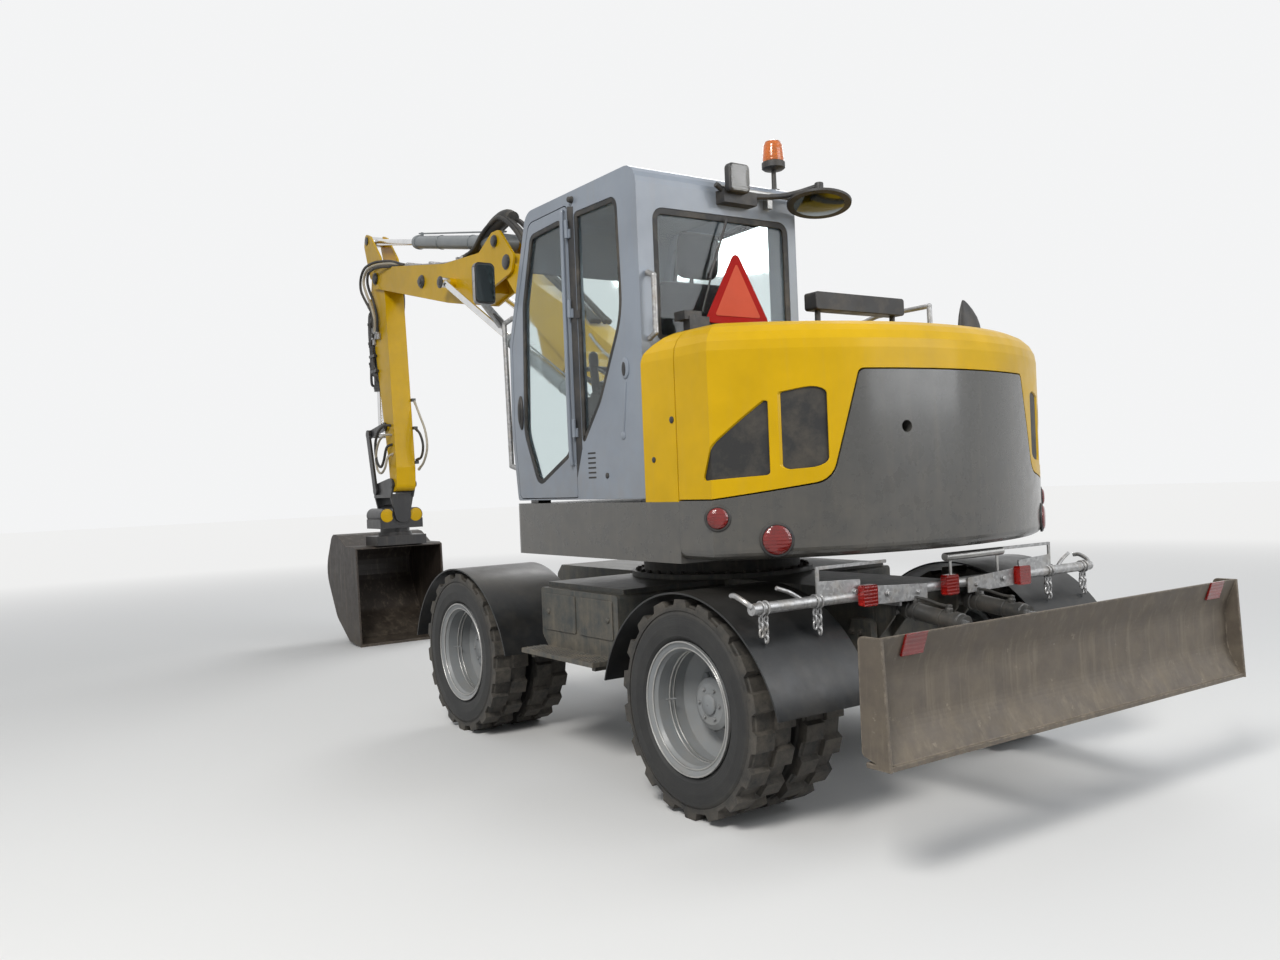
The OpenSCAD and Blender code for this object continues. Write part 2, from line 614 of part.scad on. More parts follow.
// Two copies set at equal distances to each side of a value of Y
module both_sides_of(y, d) for (side = [-1, 1]) translate([0, y + side * d, 0]) children();
module seat_cushion() {
    z = seat_floor + 300;
    color([0.06, 0.06, 0.07]) machine() {
        side_plate(outline([[seat_x - 230, z + 0.3, 30], [seat_x + 240, z + 0.3, 30], [seat_x + 250, z + 120, 40],
            [seat_x - 220, z + 120, 30]]), seat_y - 235, seat_y + 235);
        side_plate(outline([[seat_x - 140, z + 120.3, 20], [seat_x - 240, z + 720, 40], [seat_x - 340, z + 720, 40],
            [seat_x - 240, z + 120.3, 20]]), seat_y - 235, seat_y + 235);
        side_plate(outline([[seat_x - 262, z + 720.3, 10], [seat_x - 290, z + 960, 30], [seat_x - 370, z + 960, 30],
            [seat_x - 342, z + 720.3, 10]]), seat_y - 130, seat_y + 130);
    }
}
module cab_controls() {
    color([0.12, 0.12, 0.12]) machine() {
        side_plate(outline([[150, seat_floor, 0], [250, seat_floor, 0], [230, seat_floor + 560, 20],
            [90, seat_floor + 600, 20]]), seat_y - 60, seat_y + 60);
        translate([130, seat_y, seat_floor + 610]) rotate([0, -25, 0]) rotate_extrude()
            translate([180, 0]) circle(r = 14, $fn = 16);
        translate([130, seat_y, seat_floor + 600]) rotate([0, -25, 0]) cylinder(r = 30, h = 24);
        for (a = [0:120:240])
            translate([130, seat_y, seat_floor + 610]) rotate([0, -25, 0]) rotate([0, 0, a])
                translate([0, -10, -6]) cube([178, 20, 12]);
        both_sides_of(seat_y, 300) translate([seat_x + 170, 0, seat_floor + 480.3 + lever_r * sin(lever_lean)])
            rotate([0, lever_lean, 0]) cylinder(r = lever_r, h = 210);
    }
}
// Rail made of straight round bars joined by balls, through points given as [x, y, z]
module rail(points, r) {
    for (i = [0:len(points) - 1])
        translate(points[i]) sphere(r = r * 1.06, $fn = 20);
    for (i = [0:len(points) - 2])
        let (d = points[i + 1] - points[i])
            translate(points[i]) rotate([0, acos(d[2] / norm(d)), atan2(d[1], d[0])])
                cylinder(r = r, h = norm(d), $fn = 20);
}
module handrails() {
    color([0.10, 0.10, 0.10]) machine() {
        rail([[426.8, 1070, 1560], [505, 1075, 1580], [510, 1085, 2380], [440, 1070, 2400], [389.7, 1070, 2400]], 14);
        cross_plate(outline([[1250, 2720, 30], [1126, 2720, 30], [1126, 2490, 20], [1166, 2490, 0], [1066, 2392, 0],
            [1066, 2362, 8], [1100, 2362, 8], [1208, 2490, 0], [1250, 2490, 20]]), 524, 552);
        rail([[cab_rear - 14, 1060, 2120], [cab_rear - 60, 1060, 2140], [cab_rear - 60, 1060, 2400],
            [cab_rear - 14, 1060, 2420]], 13);
        rail([[700, -1060, 1802.5], [700, -1060, 2250], [-300, -1060, 2420], [-700, -1060, 2420],
            [-700, -1060, 2046.2]], 15);
    }
}
module roof_lamps() {
    color([0.75, 0.76, 0.77]) machine() {
        bar_y([cab_rear - 30, 2860], 12, 0, 640);
        block(cab_rear - 36, cab_rear - 0.2, 300, 330, 2790, 2872);
        block(cab_rear - 36, cab_rear - 0.2, 560, 590, 2790, 2872);
        translate([cab_rear - 95, 560, 2890]) rotate([0, 90, 0]) cylinder(r1 = 62, r2 = 34, h = 62);
    }
}
module beacon() {
    color([0.90, 0.35, 0.03]) machine() translate([-740, 150, cab_top + 0.2]) {
        cylinder(r = 24, h = 6);
        cylinder(r = 11, h = 130);
        translate([0, 0, 120]) cylinder(r = 58, h = 30);
        translate([0, 0, 150]) cylinder(r1 = 54, r2 = 42, h = 110);
    }
}
module warning_triangle() {
    color([0.80, 0.12, 0.05]) machine() {
        cross_plate(outline([[365, 2200, 25], [775, 2200, 25], [570, 2560, 25]]), cab_rear - 60, cab_rear - 54);
        for (y = [460, 660]) {
            block(cab_rear - 60, cab_rear - 54, y, y + 20, 2100, 2210);
            block(cab_rear - 60, cab_rear - 0.2, y, y + 20, 2100, 2120);
        }
    }
}

/* Arm */
module boom_piece(points, w) side_plate(points, boom_y - w / 2, boom_y + w / 2);
module lower_boom() {
    core = boom_w - 50;
    color([0.86, 0.66, 0.02]) machine() difference() {
        union() {
            boom_piece(outline([[115, 1580, 0], [160, 1790, 60], [1000, 2360, 0], [1600, 2735, 0],
                [1960, 2930, 0], [2280, 3140, 60], [2380, 3275, 60], [2470, 3190, 65], [2420, 3050, 40],
                [2060, 2670, 0], [1620, 2340, 0], [1000, 1960, 0], [270, 1500, 0]]), core);
            bar_y(foot, 105, boom_y - boom_w / 2, boom_y + boom_w / 2);
            both_sides_of(boom_y, ram_side - 97) bar_y(adjust_base, 70, -43, 43);
            both_sides_of(boom_y, ram_side - 55.3) bar_y(adjust_base, 34, -20, 20);
            both_sides_of(boom_y, 62)
                side_plate(outline([[1600, 2320, 0], off(lift_eye, -80, -40, 50), off(lift_eye, 60, -70, 50),
                    off(lift_eye, 110, 60, 50), [2040, 2680, 0], [1700, 2420, 0]]), -12, 12);
        }
        bar_y(foot, pin_d / 2 + run_gap, boom_y - boom_w, boom_y + boom_w);
        bar_y(knee, pin_d / 2 + run_gap, boom_y - boom_w, boom_y + boom_w);
        bar_y(lift_eye, 25, boom_y - boom_w, boom_y + boom_w);
    }
}
lift_rod_r = 30;
module lift_barrel() {
    color([0.55, 0.57, 0.58]) machine() {
        bored_ram(lift_base, lift_eye, boom_y, 62, 54, lift_barrel_l, lift_rod_r, lift_stroke);
        difference() {
            bar_y(lift_base, 62, boom_y - 45, boom_y + 45);
            bar_y(lift_base, 25 + run_gap, boom_y - 50, boom_y + 50);
        }
    }
}
module lift_rod() {
    color([0.82, 0.82, 0.82]) machine() {
        ram_rod(lift_base, lift_eye, boom_y, lift_rod_r, lift_barrel_l, lift_stroke);
        bar_y(lift_eye, 45, boom_y - 49.7, boom_y + 49.7);
    }
}
module upper_boom() {
    plate = 20;
    color([0.86, 0.66, 0.02]) machine() {
        both_sides_of(boom_y, boom_w / 2 - plate / 2)
            side_plate(outline([[2250, 3200, 40], [2480, 3440, 60], [2600, 3440, 40], [2830, 3330, 100],
                [3500, 3370, 0], [4930, 3610, 0], [5130, 3610, 85], [5130, 3430, 85], [4960, 3400, 0],
                [3440, 3030, 200], [2980, 2940, 60], [2560, 3030, 60], [2300, 3080, 40]]), -plate / 2, plate / 2);
        boom_piece(outline([[2860, 3330, 0], [3500, 3362, 0], [4700, 3565, 0], [4700, 3350, 0],
            [3440, 3040, 0], [2990, 2955, 0], [2760, 3005, 0]]), boom_w - plate);
        bar_y(adjust_eye, 40, boom_y - ram_side + 35.3, boom_y + ram_side - 35.3);
        bar_y(stick_base, 45, boom_y - boom_w / 2, boom_y - 60.3);
        bar_y(stick_base, 45, boom_y + 60.3, boom_y + boom_w / 2);
        bar_y(stick_base, 30, boom_y - boom_w / 2 - 8, boom_y + boom_w / 2 + 8);
        bar_y(knee, pin_d / 2, boom_y - boom_w / 2, boom_y + boom_w / 2);
        bar_y(stick_pivot, pin_d / 2, boom_y - boom_w / 2 - 8, boom_y + boom_w / 2 + 8);
    }
}
adjust_rod_r = 27;
module adjust_barrels() {
    color([0.55, 0.57, 0.58]) machine() both_sides_of(boom_y, ram_side) {
        bored_ram(adjust_base, adjust_eye, 0, 48, 40, adjust_barrel_l, adjust_rod_r, adjust_stroke);
        bar_y(adjust_base, 55, -35, 35);
    }
}
module adjust_rods() {
    color([0.82, 0.82, 0.82]) machine() both_sides_of(boom_y, ram_side) {
        ram_rod(adjust_base, adjust_eye, 0, adjust_rod_r, adjust_barrel_l, adjust_stroke);
        bar_y(adjust_eye, 42, -35, 35);
    }
}
rocker_pivot = stick_end + [140, 560];
rocker_arm = 380 * [cos(-8), sin(-8)];
link_pin = stick_end + rocker_arm;
rocker_pin = rocker_pivot + rocker_arm;
bucket_base = stick_pivot + [330, -210];
module stick() {
    s = stick_pivot;
    e = stick_end;
    color([0.86, 0.66, 0.02]) machine() difference() {
        union() {
            boom_piece(outline([off(s, -110, 100, 60), off(s, -150, -250, 150), off(e, -85, 160, 0), off(e, -75, -60, 60),
                off(e, 75, -70, 60), off(e, 105, 200, 0), off(s, 190, -500, 200), off(s, 240, -250, 100),
                off(s, 160, 100, 60)]), stick_w);
            both_sides_of(boom_y, stick_w / 2 - 9)
                side_plate(outline([off(s, -100, 40, 30), off(s, -60, 200, 60), off(s, 180, 450, 60), off(s, 310, 500, 50),
                    off(s, 350, 380, 60), off(s, 210, 20, 60)]), -9, 9);
            for (side = [-1, 1])
                side_plate(outline([off(s, 150, -120, 0), off(bucket_base, 10, 55, 50), off(bucket_base, 65, -10, 50),
                    off(bucket_base, 0, -56, 40), off(s, 190, -335, 0)]),
                    boom_y + side * 62 - 9, boom_y + side * 62 + 9);
            both_sides_of(boom_y, (stick_w / 2 + 55) / 2) bar_y(stick_eye, 45, 27.8 - stick_w / 4, stick_w / 4 - 27.5);
            both_sides_of(boom_y, 54) bar_y(bucket_base, 40, -8.7, 8.7);
            bar_y(bucket_base, 24, boom_y - 76, boom_y + 76);
        }
        bar_y(s, pin_d / 2 + run_gap, boom_y - 300, boom_y + 300);
        bar_y(e, 30 + run_gap, boom_y - 300, boom_y + 300);
        bar_y(rocker_pivot, 25 + run_gap, boom_y - 300, boom_y + 300);
    }
}
stick_rod_r = 30;
module stick_barrel() {
    color([0.55, 0.57, 0.58]) machine() {
        bored_ram(stick_base, stick_eye, boom_y, 58, 50, stick_barrel_l, stick_rod_r, stick_stroke);
        difference() {
            bar_y(stick_base, 65, boom_y - 60, boom_y + 60);
            bar_y(stick_base, 30 + run_gap, boom_y - 70, boom_y + 70);
        }
    }
}
module stick_rod() {
    color([0.82, 0.82, 0.82]) machine() {
        ram_rod(stick_base, stick_eye, boom_y, stick_rod_r, stick_barrel_l, stick_stroke);
        bar_y(stick_eye, 50, boom_y - 55, boom_y + 55);
    }
}
bucket_rod_r = 26;
module bucket_barrel() {
    color([0.15, 0.15, 0.15]) machine() {
        bored_ram(bucket_base, rocker_pin, boom_y, 50, 46, bucket_barrel_l, bucket_rod_r, bucket_stroke);
        difference() {
            bar_y(bucket_base, 52, boom_y - 45, boom_y + 45);
            bar_y(bucket_base, 24 + run_gap, boom_y - 50, boom_y + 50);
        }
    }
}
module bucket_rod() {
    color([0.82, 0.82, 0.82]) machine() {
        ram_rod(bucket_base, rocker_pin, boom_y, bucket_rod_r, bucket_barrel_l, bucket_stroke);
        bar_y(rocker_pin, 40, boom_y - 40, boom_y + 40);
    }
}
module link_bar(a, b, r, y0, y1) {
    d = unit(b - a);
    n = [-d[1], d[0]];
    side_plate([a + n * r * 0.9, b + n * r * 0.9, b - n * r * 0.9, a - n * r * 0.9], y0, y1);
    bar_y(a, r, y0, y1);
    bar_y(b, r, y0, y1);
}
module rocker() {
    color([0.13, 0.13, 0.13]) machine() {
        both_sides_of(boom_y, stick_w / 2 + 14) link_bar(rocker_pivot, rocker_pin, 42, -9, 9);
        both_sides_of(boom_y, stick_w / 4 + 23) bar_y(rocker_pin, 36, 17.3 - stick_w / 4, stick_w / 4 - 17.3);
        bar_y(rocker_pivot, 25, boom_y - stick_w / 2 - 28, boom_y + stick_w / 2 + 28);
    }
}
module bucket_link() {
    color([0.13, 0.13, 0.13]) machine() {
        both_sides_of(boom_y, stick_w / 2 + 39) link_bar(rocker_pin, link_pin, 42, -11, 11);
        for (at = [rocker_pin, link_pin])
            both_sides_of(boom_y, stick_w / 2 + 28) bar_y(at, 36, -4.7, 4.7);
    }
}
tilt_axis = stick_end + [0, -290];
head_x0 = stick_end[0] + 40;
head_x1 = link_pin[0] + 90;
head_mid = (head_x0 + head_x1) / 2;
module tilt_head() {
    e = stick_end;
    color([0.11, 0.11, 0.12]) machine() {
        both_sides_of(boom_y, stick_w / 2 + 14)
            side_plate(outline([off(e, -60, 55, 50), off(e, 60, 60, 50), off(link_pin, 60, 60, 50),
                [head_x1, e[1] - 125, 30], [head_x0, e[1] - 125, 0]]), -9, 9);
        block(head_x0, head_x1, boom_y - stick_w / 2 - 23, boom_y + stick_w / 2 + 23, e[1] - 125, e[1] - 90);
        for (x = [head_x0, head_x1 - 26])
            cross_plate(outline([[boom_y - 118, e[1] - 100, 0], [boom_y + 118, e[1] - 100, 0],
                [boom_y + 60, tilt_axis[1] - 70, 59], [boom_y - 60, tilt_axis[1] - 70, 59]]), x, x + 26);
        bar_y(e, 30, boom_y - stick_w / 2 - 30, boom_y + stick_w / 2 + 30);
        bar_y(link_pin, 26, boom_y - stick_w / 2 - 10, boom_y + stick_w / 2 + 10);
    }
}
module tilt_body() {
    color([0.11, 0.11, 0.12]) machine() {
        translate([head_x0 + 26.3, boom_y, tilt_axis[1]]) rotate([0, 90, 0])
            cylinder(r = 95, h = head_x1 - head_x0 - 52.6);
        both_sides_of(boom_y, 145) translate([head_x0 + 32, 0, tilt_axis[1] - 5]) rotate([0, 90, 0])
            cylinder(r = 70, h = head_x1 - head_x0 - 64);
        block(head_x0 + 32, head_x1 - 32, boom_y - 215, boom_y + 215, tilt_axis[1] - 130, tilt_axis[1] - 40);
        translate([head_mid, boom_y, tilt_axis[1] - 170]) cylinder(r = 140, h = 45);
    }
}
module rotor_hitch() {
    z = tilt_axis[1] - 170.3;
    color([0.11, 0.11, 0.12]) machine() {
        translate([head_mid, boom_y, z - 32]) cylinder(r = 160, h = 32);
        block(head_mid - 170, head_mid + 130, boom_y - 250, boom_y + 250, bucket_top + 0.2, z - 31);
    }
}
// Bucket's heights and its place along the machine, without the rounding of its corners
bucket_top = 945;
bucket_back = 5905;
bucket_lip = 4976;
module bucket() {
    y0 = boom_y - bucket_w / 2;
    y1 = boom_y + bucket_w / 2;
    t = bucket_t;
    color([0.24, 0.21, 0.19]) machine() difference() {
        side_plate(outline([[bucket_lip, 0, 0], [bucket_lip + 46, bucket_top - 15, 0],
            [bucket_lip + 96, bucket_top, 0], [bucket_back - 605, bucket_top, 60],
            [bucket_back - 395, bucket_top + 100, 60], [bucket_back - 225, bucket_top + 118, 120],
            [bucket_back, 690, 260], [bucket_back - 290, 240, 220], [bucket_lip + 300, 30, 60]]), y0, y1);
        side_plate(outline([[bucket_lip - 50, 24, 0], [bucket_lip - 50, bucket_top - 40, 0],
            [bucket_lip + 100, bucket_top - t, 0], [bucket_back - 602, bucket_top - t, 60],
            [bucket_back - 391, bucket_top + 100 - t, 60], [bucket_back - 235, bucket_top + 118 - t, 100],
            [bucket_back - 22, 690, 240], [bucket_back - 305, 258, 200], [bucket_lip + 295, 50, 50],
            [bucket_lip + 30, 24, 0]]), y0 + t, y1 - t);
    }
}

chassis_frame();
slew_ring();
side_boxes();
rear_fenders();
front_axle();
rear_axle();
tail_bar();
tail_lamps();
knuckle_left();
knuckle_right();
fender_front_left();
fender_front_right();
tyres_front_left();
tyres_front_right();
tyres_rear_left();
tyres_rear_right();
rims_front_left();
rims_front_right();
rims_rear_left();
rims_rear_right();
dozer_blade();
blade_barrels();
blade_rods();
platform();
counterweight();
hood_front();
bonnet();
hood_grilles();
right_cover();
engine_block();
cab_frame();
cab_glass();
cab_door();
door_glass();
seat_base();
seat_cushion();
cab_controls();
handrails();
roof_lamps();
beacon();
warning_triangle();
lower_boom();
lift_barrel();
lift_rod();
upper_boom();
adjust_barrels();
adjust_rods();
stick();
stick_barrel();
stick_rod();
bucket_barrel();
bucket_rod();
rocker();
bucket_link();
tilt_head();
tilt_body();
rotor_hitch();
bucket();
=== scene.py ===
import math

import bmesh
import bpy
from mathutils import Matrix, Vector


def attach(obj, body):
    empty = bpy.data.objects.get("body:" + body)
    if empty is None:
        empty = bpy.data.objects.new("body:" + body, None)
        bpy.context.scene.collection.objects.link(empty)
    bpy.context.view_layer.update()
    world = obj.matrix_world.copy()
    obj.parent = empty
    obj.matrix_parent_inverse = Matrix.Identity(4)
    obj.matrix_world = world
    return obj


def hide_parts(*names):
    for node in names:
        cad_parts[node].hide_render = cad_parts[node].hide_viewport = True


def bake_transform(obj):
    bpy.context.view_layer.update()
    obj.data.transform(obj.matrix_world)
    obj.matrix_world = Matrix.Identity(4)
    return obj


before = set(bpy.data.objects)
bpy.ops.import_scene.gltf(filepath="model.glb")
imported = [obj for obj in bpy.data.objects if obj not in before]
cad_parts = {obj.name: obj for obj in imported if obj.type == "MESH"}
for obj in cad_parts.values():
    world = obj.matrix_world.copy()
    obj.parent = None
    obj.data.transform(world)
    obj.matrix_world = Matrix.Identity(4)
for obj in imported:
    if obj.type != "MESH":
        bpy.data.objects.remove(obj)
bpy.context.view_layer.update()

# Lengths of the part's source, in millimetres: slewing axis in the row frame, middle plane of the boom, axles
SLEW_X = -1754
BOOM_Y = -50
AXLE_X = 1132.5
AXLE_Z = 475


def at(x, y, z):
    """Point of the machine, in millimetres from the slewing axis, as metres in the row frame."""
    return Vector(((x + SLEW_X) / 1000, y / 1000, z / 1000))


def add(name, data):
    """New object in the scene."""
    new = bpy.data.objects.new(name, data)
    bpy.context.collection.objects.link(new)
    return new


# ---- Camera -------------------------------------------------------------
CAMERA_AT = (-6.5989, 3.8949, 1.4695)
FOCAL_PIXELS, WIDTH_PIXELS, SENSOR_WIDTH = 1068.03, 1280, 36
yaw, pitch, roll = -0.6039, 0.0006, -0.0398
forward = Vector((math.cos(yaw) * math.cos(pitch), math.sin(yaw) * math.cos(pitch), math.sin(pitch)))
level = forward.cross(Vector((0, 0, 1))).normalized()
above = level.cross(forward)
right = math.cos(roll) * level + math.sin(roll) * above
up = -math.sin(roll) * level + math.cos(roll) * above
camera_data = bpy.data.cameras.new("camera")
camera_data.sensor_width = SENSOR_WIDTH
camera_data.lens = SENSOR_WIDTH * FOCAL_PIXELS / WIDTH_PIXELS
camera = add("camera", camera_data)
camera.matrix_world = Matrix([(right[i], up[i], -forward[i], CAMERA_AT[i]) for i in range(3)] + [(0, 0, 0, 1)])
bpy.context.scene.camera = camera
bpy.context.scene.view_settings.view_transform = "Standard"


# ---- Material helpers ---------------------------------------------------
class Tree:
    """Short calls for building one material's nodes."""

    def __init__(self, name):
        self.mat = bpy.data.materials.new(name)
        self.mat.use_nodes = True
        self.t = self.mat.node_tree
        self.t.nodes.clear()
        self.out = self.t.nodes.new("ShaderNodeOutputMaterial")
        self.shader = self.t.nodes.new("ShaderNodeBsdfPrincipled")
        self.t.links.new(self.shader.outputs[0], self.out.inputs[0])
        self.coords = self.t.nodes.new("ShaderNodeTexCoord").outputs["Object"]

    def put(self, socket, value):
        """Link value to the socket, or set it there as a constant."""
        if isinstance(value, bpy.types.NodeSocket):
            self.t.links.new(value, socket)
        else:
            socket.default_value = value

    def node(self, kind, **sockets):
        """New node, with its sockets given by name or, as i0 and i1, by number."""
        n = self.t.nodes.new(kind)
        for key, value in sockets.items():
            self.put(n.inputs[int(key[1:]) if key[1:].isdigit() else key.replace("_", " ")], value)
        return n

    def scaled(self, scale):
        return self.node("ShaderNodeMapping", Vector=self.coords, Scale=scale).outputs[0]

    def noise(self, scale, detail=6, rough=0.6, vector=None):
        return self.node("ShaderNodeTexNoise", Vector=vector or self.coords, Scale=scale, Detail=detail,
                         Roughness=rough).outputs[0]

    def math(self, op, a, b=0.5, clamp=False):
        n = self.node("ShaderNodeMath", i0=a, i1=b)
        n.operation = op
        n.use_clamp = clamp
        return n.outputs[0]

    def ramp(self, value, a, b, low=0.0, high=1.0):
        n = self.node("ShaderNodeMapRange", Value=value, From_Min=a, From_Max=b, To_Min=low, To_Max=high)
        n.clamp = True
        return n.outputs[0]

    def mix(self, factor, a, b):
        n = self.t.nodes.new("ShaderNodeMix")
        n.data_type = "RGBA"
        for index, value in ((0, factor), (6, a), (7, b)):
            self.put(n.inputs[index], (*value, 1) if isinstance(value, tuple) else value)
        return n.outputs[2]

    def axis(self, index, source=None):
        n = self.node("ShaderNodeSeparateXYZ", Vector=source or self.coords)
        return n.outputs[index]

    def normal(self):
        return self.t.nodes.new("ShaderNodeNewGeometry").outputs["Normal"]

    def round_normal(self, radius):
        """Normal that turns over an edge within a radius."""
        bevel = self.node("ShaderNodeBevel", Radius=radius)
        bevel.samples = 4
        return bevel.outputs[0]

    def edge(self, radius):
        """1 along edges, 0 on flats."""
        dot = self.node("ShaderNodeVectorMath", i0=self.round_normal(radius), i1=self.normal())
        dot.operation = "DOT_PRODUCT"
        return self.ramp(dot.outputs["Value"], 0.985, 0.9)

    def facing_up(self):
        """1 on level faces, fading to 0 on those that lean by 41 degrees."""
        return self.ramp(self.axis(2, self.normal()), 0.75, 1.0)

    def bump(self, height, strength, distance, bevel=0.003):
        """Bump on the shader's normal, which turns over edges within the radius bevel."""
        n = self.node("ShaderNodeBump", Strength=strength, Distance=distance, Height=height)
        if bevel:
            self.put(n.inputs["Normal"], self.round_normal(bevel))
        self.put(self.shader.inputs["Normal"], n.outputs[0])

    def set(self, **values):
        for key, value in values.items():
            self.put(self.shader.inputs[key.replace("_", " ")], value)
        return self.mat


DUST = (0.30, 0.25, 0.18)
PAINT_VARIES = 0.06


def paint(name, colour, rough, coat, dust, dust_z, streak=0.12, worn=0.0, worn_colour=(0.25, 0.20, 0.16), spec=0.5):
    """Sprayed metal with dust on top and below, fading over the heights dust_z, rain streaks and worn edges."""
    m = Tree(name)
    dark = tuple(c * (1 - 2 * PAINT_VARIES) for c in colour)
    light = tuple(min(1, c * (1 + PAINT_VARIES)) for c in colour)
    body = m.mix(m.ramp(m.noise(2.2, 4), 0.35, 0.65), dark, light)
    streaks = m.ramp(m.noise(1.0, 5, 0.7, m.scaled((26, 26, 1.6))), 0.52, 0.75, 0, streak)
    body = m.mix(streaks, body, DUST)
    low = m.ramp(m.axis(2), dust_z[1], dust_z[0])
    patches = m.ramp(m.noise(9, 8, 0.7), 0.35, 0.7)
    settled = m.math("MULTIPLY", m.facing_up(), m.ramp(m.noise(5, 6), 0.3, 0.75, 0.1, 0.3))
    cover = m.math("MULTIPLY", m.math("MAXIMUM", m.math("MULTIPLY", low, patches), settled), dust, True)
    body = m.mix(cover, body, DUST)
    roughness = m.math("ADD", m.ramp(m.noise(14, 5), 0.3, 0.7, rough - 0.05, rough + 0.08),
                       m.math("MULTIPLY", cover, 0.5), True)
    if worn:
        rub = m.math("MULTIPLY", m.edge(0.012), m.ramp(m.noise(30, 6, 0.75), 0.42, 0.6), True)
        spots = m.ramp(m.noise(17, 10, 0.75), 0.62, 0.68, 0, worn)
        rub = m.math("MAXIMUM", m.math("MULTIPLY", rub, worn), m.math("MULTIPLY", spots, worn), True)
        body = m.mix(rub, body, worn_colour)
        roughness = m.math("ADD", roughness, m.math("MULTIPLY", rub, 0.3), True)
    m.bump(m.noise(240, 2), 0.12, 0.0006, 0.004)
    return m.set(Base_Color=body, Roughness=roughness, Coat_Weight=coat, Coat_Roughness=0.12, Specular_IOR_Level=spec)


def steel(name, colour, rough, scratch, worn):
    """Bare metal with fine scratches along one way and dull patches."""
    m = Tree(name)
    dull = m.ramp(m.noise(8, 8, 0.7), 0.45, 0.75)
    body = m.mix(dull, colour, tuple(c * (1 - worn) for c in colour))
    lines = m.noise(60, 4, 0.6, m.scaled(scratch))
    roughness = m.math("ADD", m.ramp(lines, 0.3, 0.7, rough - 0.06, rough + 0.08), m.math("MULTIPLY", dull, 0.12), True)
    m.bump(lines, 0.08, 0.0004)
    return m.set(Base_Color=body, Metallic=1.0, Roughness=roughness)


def galvanised(name):
    """Zinc with a pattern of crystals and dust in patches."""
    m = Tree(name)
    cells = m.node("ShaderNodeTexVoronoi", Vector=m.coords, Scale=70.0)
    grey = m.ramp(m.axis(0, cells.outputs["Color"]), 0, 1, 0.30, 0.46)
    body = m.node("ShaderNodeCombineColor", Red=grey, Green=grey, Blue=grey).outputs[0]
    body = m.mix(m.ramp(m.noise(10, 7, 0.7), 0.5, 0.75, 0, 0.6), body, DUST)
    m.bump(m.noise(90, 3), 0.15, 0.0006)
    return m.set(Base_Color=body, Metallic=0.8, Roughness=m.ramp(m.noise(20), 0.3, 0.7, 0.35, 0.55))


def plastic(name, colour, rough, grain, dust):
    """Moulded plastic or rubber with a fine grain and dust in patches."""
    m = Tree(name)
    body = m.mix(m.ramp(m.noise(6, 5), 0.4, 0.7, 0, 0.5), colour, tuple(c * 1.5 + 0.01 for c in colour))
    patches = m.math("MULTIPLY", m.ramp(m.noise(7, 8, 0.7), 0.45, 0.75), dust)
    cover = m.math("MAXIMUM", patches, m.math("MULTIPLY", m.facing_up(), dust * 0.8), True)
    body = m.mix(cover, body, DUST)
    m.bump(m.noise(grain, 2), 0.2, 0.0004, 0.002)
    return m.set(Base_Color=body, Roughness=m.ramp(m.noise(12), 0.3, 0.7, rough - 0.06, rough + 0.08))


def rubber(name, axle):
    """Tyre rubber with dust on the tread and fine rings about the axle on the side."""
    m = Tree(name)
    dx = m.math("SUBTRACT", m.axis(0), axle.x)
    dz = m.math("SUBTRACT", m.axis(2), axle.z)
    radius = m.math("SQRT", m.math("ADD", m.math("MULTIPLY", dx, dx), m.math("MULTIPLY", dz, dz)))
    tread = m.ramp(radius, 0.40, 0.46, 0.05, 1.0)
    patches = m.ramp(m.noise(11, 9, 0.75), 0.33, 0.7)
    cover = m.math("MULTIPLY", m.math("MULTIPLY", tread, patches), 0.62, True)
    body = m.mix(m.ramp(m.noise(5, 5), 0.4, 0.7), (0.014, 0.0145, 0.015), (0.028, 0.028, 0.027))
    body = m.mix(cover, body, (0.20, 0.175, 0.14))
    rings = m.math("SINE", m.math("MULTIPLY", radius, 620.0))
    m.bump(m.math("ADD", m.math("MULTIPLY", rings, 0.3), m.noise(130, 4)), 0.35, 0.0012, 0.004)
    return m.set(Base_Color=body, Roughness=m.math("ADD", m.math("MULTIPLY", cover, 0.25), 0.62, True))


def glass(name, colour):
    """Clear pane with a faint film."""
    m = Tree(name)
    film = m.ramp(m.noise(4, 8, 0.7), 0.45, 0.8, 0.02, 0.12)
    return m.set(Base_Color=(*colour, 1), Roughness=film, Transmission_Weight=1.0, IOR=1.3)


def lens(name, colour, rough=0.15, ribs=420.0, clear=0.6):
    """Lamp cover with fine level ribs."""
    m = Tree(name)
    body = m.mix(m.ramp(m.noise(20, 4), 0.4, 0.7), colour, tuple(c * 0.7 for c in colour))
    wave = m.math("SINE", m.math("MULTIPLY", m.axis(2), ribs))
    m.bump(wave, 0.4, 0.0012, 0.003)
    return m.set(Base_Color=body, Roughness=rough, Transmission_Weight=clear, IOR=1.45, Coat_Weight=0.6)


def fabric(name, colour):
    """Woven cloth, paler where it is worn."""
    m = Tree(name)
    a = m.math("SINE", m.math("MULTIPLY", m.axis(0), 2600.0))
    b = m.math("SINE", m.math("MULTIPLY", m.math("ADD", m.axis(1), m.axis(2)), 2600.0))
    weave = m.math("MULTIPLY", a, b)
    body = m.mix(m.ramp(weave, -1, 1), tuple(c * 0.6 for c in colour), tuple(c * 1.5 for c in colour))
    body = m.mix(m.ramp(m.noise(8, 6), 0.5, 0.8, 0, 0.5), body, (0.10, 0.095, 0.09))
    m.bump(weave, 0.3, 0.0006, 0)
    return m.set(Base_Color=body, Roughness=0.9, Sheen_Weight=0.3)


